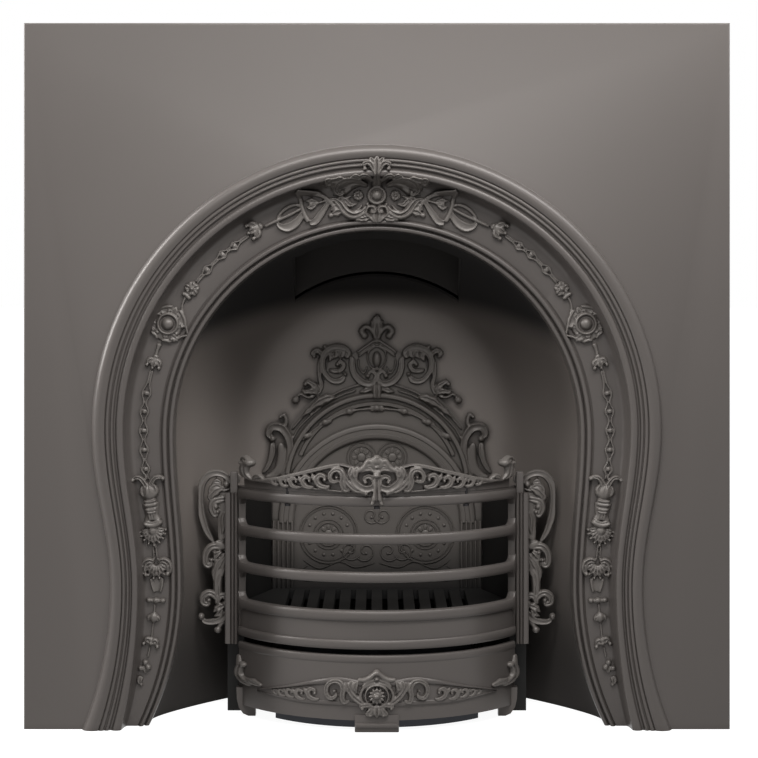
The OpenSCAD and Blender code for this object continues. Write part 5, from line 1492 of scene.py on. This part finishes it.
def wing_scrolls():
    """A wing, drawn on the right."""
    art = Relief(on_wing, fuller=1.55, sink=4.0)
    # Tall C scroll that ends in a ball beside the post
    art.volute([(231, 240.5), (241, 256), (248, 277), (251, 301), (249, 322.5), (240, 336), (227.5, 340),
                (216, 336.5), (210, 329), (213.5, 324)], [2.2, 3.0, 3.6, 3.9, 3.9, 3.8, 3.6, 3.3, 2.9, 2.4],
               [3, 4, 5, 5.5, 6, 6, 6, 5.5, 5.5, 5.5], 4.2, form_channel)
    art.strap([(207.5, 319.5), (217.5, 317), (226.5, 321.5), (234.5, 318), (237.5, 307)],
              [2.6, 3.0, 3.2, 3.4, 2.4], [3, 4, 5, 5, 4], form_leaf)
    art.leaf([(217.5, 319.5), (228.5, 314), (236.5, 305.5), (233, 298.5)], 5.4, 6, 3)
    art.leaf([(220, 325.5), (228, 328), (235.5, 324)], 3.8, 5, 2)
    art.volute([(213, 302.5), (223, 302), (232, 298.5), (234.5, 289.5), (230, 280.5), (226, 285)],
               [3, 3.8, 4.2, 4, 3.2, 2.4], [3, 4, 5, 5.5, 5, 4.5], 2.8, form_leaf)
    art.ball(228.5, 292, 3.2, 6)
    # Web of plain iron between the scroll and the post, with a long narrow leaf on it
    art.strap([(213, 314), (214.5, 294), (215.5, 274.5), (217.5, 254.5), (221.5, 242)], [7, 7, 7, 6, 3.5],
              1.6, form_round, (0.02, 0.1))
    art.leaf([(215, 285.5), (217, 271.5), (219.5, 250.5)], 3.4, 3.4, base=1)
    art.strap([(211, 295.5), (210.5, 274.5), (213, 254.5), (219.5, 244)], 1.0, 3.4)
    # Leaf head below the cusp
    art.strap([(230.5, 242), (222, 237.5), (214, 234)], [3, 4, 3], 4, form_round)
    art.volute([(216.5, 233.5), (227.5, 236), (236.5, 234), (243, 224), (243, 211), (237, 209),
                (235, 216.5)], [3.4, 3.8, 4.0, 3.8, 3.4, 2.8, 2.4], [3.5, 5, 6, 6, 5.5, 5, 4.5], 2.6,
               form_leaf)
    art.leaf([(220, 229), (228, 223.5), (231, 213.5)], 4.2, 5, 2)
    art.ball(230, 227, 2.8, 6)
    # Stem of leaves down to the lower scrolls
    art.leaf([(214.5, 223.5), (224.5, 212), (230.5, 198), (231.5, 183.5)], 5.0, 5.5, 3)
    art.leaf([(213, 209), (221.5, 198), (227.5, 183.5), (226.5, 166.5)], 4.4, 5, 3)
    art.strap([(213.5, 227.5), (220.5, 210.5), (225.5, 189.5), (226, 169.5), (223.5, 155.5)],
              [4, 5, 4.6, 4, 3], [3, 4.6, 5, 4.6, 4], form_leaf)
    art.volute([(224.5, 157), (230.5, 166), (238.5, 169.5), (246.5, 164.5), (247, 156.5), (240.5, 154),
                (238.5, 159.5)], [3, 3.4, 3.8, 3.8, 3.4, 2.8, 2.4], [4, 5, 5.5, 5.5, 5, 5, 4.5], 2.8,
               form_leaf)
    art.volute([(227.5, 152.5), (224.5, 162.5), (217.5, 166), (212.5, 160), (216, 155)],
               [2.8, 3.2, 3.4, 3.2, 2.6], 5, 2.8, form_leaf)
    art.leaf([(214.5, 152.5), (224.5, 149), (233, 142)], 5.0, 6, 3)
    art.leaf([(219, 148.5), (223.5, 141), (232, 136)], 4.4, 6, 2)
    art.ball(224.5, 145.5, 3.6, 6.5)
    # Sickle with a ball at its tip, and the small drop under it
    art.strap([(248, 133.5), (243, 129), (231.5, 129), (219.5, 133.5), (210.5, 145.5)],
              [2.0, 2.6, 3.2, 3.6, 2.8], [4, 5, 6, 6, 4], form_channel)
    art.ball(249.5, 136.5, 4.0, 6.5)
    art.ball(226, 117.5, 4.6, 6.0, 4.0)
    art.strap([(226, 118.5), (221.5, 125.5), (214.5, 131.5)], [2.6, 2.6, 2.4], 4)
    # Edge that lies against the post
    art.strap([(207.5, 322.5), (207.5, 274.5), (207.5, 203.5), (207.5, 132.5)], 3.2, 1.4, form_round,
              (0.01, 0.01), steps=40)
    return art


def wing_lugs(bm):
    """Drilled lugs that screw behind the post."""
    for z in (235.0, 332.0):
        turned(bm, [(3.3, 102.4), (3.3, 108.4), (8, 108.4), (8.5, 107.9), (8.5, 102.4), (3.3, 102.4)],
               202.0, z)
        box(bm, (202, 103.4, z - 6), (218, 108.4, z + 6), 0.8)


def build_wings():
    """Both wings: the left is the right one mirrored."""
    for name, side in (("right_wing", 1), ("left_wing", -1)):
        art = wing_scrolls()
        wing_lugs(art.bm)
        if side < 0:
            for vert in art.bm.verts:
                vert.co.x = -vert.co.x
            bmesh.ops.reverse_faces(art.bm, faces=art.bm.faces)
        wing = art.finish(name, ornament_iron, voxel=0.8, symmetric=False, body="basket_front")
        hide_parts(name)


# ---- Ash cover ----

ASH_HALF = 196.0
ASH_LOW = 16.0
ASH_RIM_Z = 98.5
ASH_FACE = -1.0
FOOT_FRONT = 82.0
FOOT_T = 14.0
ASH_RAIL_TOP = [
    (0.0, 57.0), (11, 75), (19.5, 71.5), (29, 72), (41.5, 74), (55, 74.5), (70, 72), (89.5, 67.5),
    (114.5, 60), (140, 52.5), (166.5, 44.5),
]
ASH_RAIL_LOW = [
    (0.0, 28.0), (15.5, 35.5), (28.5, 36), (51, 36.5), (71.5, 36.5), (106, 36.5), (140, 39.5), (166.5, 42),
]


def on_cover(x, z, out):
    """On the bowed face of the ash cover."""
    return on_bow(x, z, ASH_FACE + out)


def ash_rail(bm):
    """Raised rail across the panel: a rolled upper rim, a sunk field and a thin lower line."""
    section = [(0, -2), (0, 1.8), (0.05, 2.4), (0.12, 2.2), (0.15, 1.1), (0.74, 1.1), (0.78, 2.6),
               (0.85, 3.8), (0.93, 3.6), (0.98, 2.2), (1.0, -2)]

    def laid(share, point):
        up, out = point
        low, high = spline_point(ASH_RAIL_LOW, share), spline_point(ASH_RAIL_TOP, share)
        return on_cover(mix(low.x, high.x, up), mix(low.y, high.y, up), out)

    swept(bm, BOW_STATIONS, section, laid)


def ash_ornament():
    """Rosette, volutes and rolling leaves on the ash cover's rail."""
    art = Relief(on_cover)
    flower = (0.0, 50.0)
    # Rosette: boss, ring of petals and an oval frame round it
    art.ball(flower[0], flower[1], 5.0, 13.0)
    art.petals(flower[0], flower[1], 4.6, 12.6, 12, 1.7, 9.5)
    art.ring(flower[0], flower[1], 15.4, 1.3, 7.5, 14.6)
    art.ring(flower[0], flower[1], 22.0, 2.2, 6.0, 17.0)
    # Peak over it
    art.ball(0, 81, 4.6, 9.0, 4.4)
    art.ball(0, 73, 3.4, 9.0, 3.0)
    art.strap([(0, 83), (8, 75.5), (17, 71), (27, 71.5)], [2.6, 3.2, 3.2, 2.4], [8, 7, 6, 4])
    art.strap([(2.5, 71.5), (12, 68.5), (20.5, 61.5)], [1.8, 2.4, 1.6], 6)
    # Palmette that hangs below
    art.leaf([(0, flower[1] - 10), (0, flower[1] - 22), (0, flower[1] - 31)], 4.6, 9)
    art.volute([(3, flower[1] - 14), (8.5, 30), (12.5, 25.5), (8.5, 23.5)], [3, 3.6, 3, 2.2], [8, 8, 7, 6],
               2.2, form_leaf)
    art.volute([(6, flower[1] - 12), (13.5, 37.5), (20.5, 36), (19, 32.5)], [3, 3.4, 3, 2.2], [8, 8, 7, 6],
               2.4, form_leaf)
    art.leaf([(2, flower[1] - 14), (5.5, 29), (5, 22)], 3.4, 8)
    # Folded leaf and strap that sweep under the flower
    art.leaf([(32.5, 71), (35, 62.5), (31.5, 53)], 3.8, 7.5)
    art.leaf([(26, 70.5), (29, 61), (25.5, 51.5)], 3.6, 7.5)
    art.strap([(41.5, 72), (39.5, 62), (32.5, 50.5), (23, 42), (13, 36.5)], [1.8, 3.4, 4.2, 4.0, 2.6],
              [4, 6, 7.5, 7.5, 6], form_leaf)
    # Great volute
    art.volute([(34.5, 43.5), (43.5, 40.5), (46.5, 48), (45, 59), (49.5, 67.5), (58.5, 68.5), (66.5, 62.5),
                (68, 52), (62, 45), (55, 49), (56.5, 55.5)], [2.2, 3.4, 3.8, 3.8, 3.6, 3.2, 3.2, 3.2, 3.0,
                                                              2.4, 2.0], [4, 6, 7, 8, 7.5, 7, 7, 7, 6.5, 6,
                                                                          6], 2.0, form_leaf)
    rolling_acanthus(art, [(87, 50.5), (104.5, 48), (119, 47.5), (131, 46.5), (140, 46)], 1.05)
    # Rolled leaves that stand up at the ends
    art.leaf([(159, 50), (172.5, 53), (185.5, 56)], 4.6, 5, 2)
    art.volute([(175.5, 47.5), (186.5, 51), (193.5, 58), (192.5, 68), (187.5, 73.5)], [3, 4.4, 5.0, 4.4, 3],
               [3, 6, 8, 8, 6], 4.0, form_leaf)
    art.strap([(193.5, 67), (194.5, 76.5), (195.5, 86)], [3.4, 2.8, 2.0], [6, 5, 3])
    return art.finish("ash_cover_ornament", ornament_iron, voxel=0.95, body="cover")


def ash_feet(bm):
    """Curved feet at both ends of the cover."""
    path = [(198, 40), (197.4, 24), (194.6, 12), (188.6, 3.4), (181, 0), (171, 0), (171, 13), (166, 22),
            (166, 40)]
    face = bm.faces.new([bm.verts.new(place(x, FOOT_FRONT, z)) for x, z in path])
    pulled(bm, [face], (0, FOOT_T * MM, 0))


def build_ash_cover():
    """The bowed cover with its rim, rail, feet and tab."""
    bm = bmesh.new()
    bowed_plate(bm, ASH_LOW, ASH_RIM_Z, -7, ASH_FACE, ASH_HALF)
    bowed_bar(bm, ASH_RIM_Z, 5.5, 0, 0, ASH_HALF, deep=0.7)
    cover = piece("ash_cover", bm, blackleaded_iron, "cover")
    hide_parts("ash_cover")
    rail = bmesh.new()
    ash_rail(rail)
    ash_feet(rail)
    mirrored(rail)
    # Tab on the hearth, with a rolled step across it
    box(rail, (-30, -20, 0.2), (30, -12, ASH_LOW + 8), 1.0)
    box(rail, (-30, -22.5, 6), (30, -14, 13), 2.4)
    piece("ash_cover_rail", rail, blackleaded_iron, "cover")
    ash_ornament()


# ---- Finishes of the CAD pieces that stay as they are ----

def finish_cad():
    """Gives the CAD pieces that show as they are their finishes."""
    finishes = {
        rear_iron: ("throat_frame",),
        throat_iron: ("damper_flap",),
        hearth_iron: ("bottom_grate", "left_cheek", "right_cheek"),
        fastener_steel: ("niche_screws", "frame_screws", "frame_nuts", "damper_pin", "damper_eye",
                         "fireback_nuts", "cheek_screws", "cheek_nuts", "crest_screws", "wing_screws",
                         "ash_pan_handle", "handle_rivets"),
        sheet_iron: ("ash_pan",),
    }
    for material, names in finishes.items():
        for name in names:
            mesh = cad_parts[name].data
            mesh.materials.clear()
            mesh.materials.append(material)


# ---- Camera, floor and light ----

CAMERA_Z = 0.600
CAMERA_AWAY = 2.600
SENSOR = 36.0
LENS = 90.4
SHIFT_X = 0.0028
SHIFT_Y = -0.1174


def add_camera():
    """The camera stands straight before the plate, and the shift lowers the view."""
    data = bpy.data.cameras.new("camera")
    data.lens = LENS
    data.sensor_width = SENSOR
    data.shift_x = SHIFT_X
    data.shift_y = SHIFT_Y
    camera = bpy.data.objects.new("camera", data)
    camera.location = (0, PLATE_Y - CAMERA_AWAY, CAMERA_Z)
    camera.rotation_euler = (math.pi / 2, 0, 0)
    bpy.context.scene.collection.objects.link(camera)
    bpy.context.scene.camera = camera


def seen_white(tree, shader_out, white):
    """Shows plain white to the camera and to reflections, and the given shader to the light."""
    path = node(tree, "ShaderNodeLightPath")
    either = node(tree, "ShaderNodeMath",
                  {0: path.outputs["Is Camera Ray"], 1: path.outputs["Is Glossy Ray"]},
                  operation="MAXIMUM")
    seen = node(tree, "ShaderNodeMath", {0: either.outputs[0], 1: path.outputs["Is Transmission Ray"]},
                operation="MAXIMUM")
    return node(tree, "ShaderNodeMixShader", {"Fac": seen.outputs[0], 1: shader_out, 2: white})


FLOOR_HALF = 60.0
FLOOR_GLOW = 0.95
ROOM_STRENGTH = 0.07


def add_floor():
    """A pale floor that the camera sees almost white, so the shadow still shows."""
    bm = bmesh.new()
    bmesh.ops.create_grid(bm, x_segments=1, y_segments=1, size=FLOOR_HALF)
    mesh = bpy.data.meshes.new("floor")
    bm.to_mesh(mesh)
    bm.free()
    floor = bpy.data.objects.new("floor", mesh)
    bpy.context.scene.collection.objects.link(floor)
    material, tree, shader = new_material("studio_floor_painted")
    wire(tree, shader, {"Base Color": linear("#787878"), "Roughness": 0.9})
    glow = node(tree, "ShaderNodeEmission", {"Color": (1, 1, 1, 1), "Strength": FLOOR_GLOW})
    lit = node(tree, "ShaderNodeAddShader", {0: shader.outputs[0], 1: glow.outputs[0]})
    choice = seen_white(tree, shader.outputs[0], lit.outputs[0])
    wire(tree, tree.nodes["Material Output"], {"Surface": choice.outputs[0]})
    mesh.materials.append(material)


def add_world():
    """A white room to the camera and in reflections, and a dim one to the light."""
    world = bpy.data.worlds.new("studio")
    bpy.context.scene.world = world
    world.use_nodes = True
    tree = world.node_tree
    room = tree.nodes["Background"]
    wire(tree, room, {"Color": (1, 0.985, 0.97, 1), "Strength": ROOM_STRENGTH})
    white = node(tree, "ShaderNodeBackground", {"Color": (1, 1, 1, 1), "Strength": 1.0})
    choice = seen_white(tree, room.outputs[0], white.outputs[0])
    wire(tree, tree.nodes["World Output"], {"Surface": choice.outputs[0]})


def add_lamp(name, place_at, aim, size, power):
    """A soft rectangular lamp turned to its aim, in metres and watts."""
    data = bpy.data.lights.new(name, "AREA")
    data.shape = "RECTANGLE"
    data.size, data.size_y = size
    data.energy = power
    lamp = bpy.data.objects.new(name, data)
    lamp.location = place_at
    lamp.rotation_euler = (Vector(aim) - Vector(place_at)).to_track_quat("-Z", "Y").to_euler()
    bpy.context.scene.collection.objects.link(lamp)


def add_lights():
    """A key over the plate, a strip at its left that draws the highlights, and a weak fill."""
    add_lamp("key_above", (0.4, -0.88, 1.74), (0.1, 0, 0.9), (2.3, 0.42), 42)
    add_lamp("strip_left", (-1.9, -0.16, 1.5), (-0.35, 0, 0.95), (0.65, 1.6), 74)
    add_lamp("fill_front", (0.4, -2.6, 2.1), (0, 0, 0.9), (1.6, 0.8), 15)


def main():
    """The room and the lights, then the castings."""
    add_camera()
    add_floor()
    add_world()
    add_lights()
    finish_cad()
    build_fascia()
    build_niche()
    crown_ornament()
    drop_ornament()
    build_fireback()
    build_bars()
    build_crest()
    build_wings()
    build_ash_cover()


main()

scene = bpy.context.scene
scene.view_settings.view_transform = "Standard"
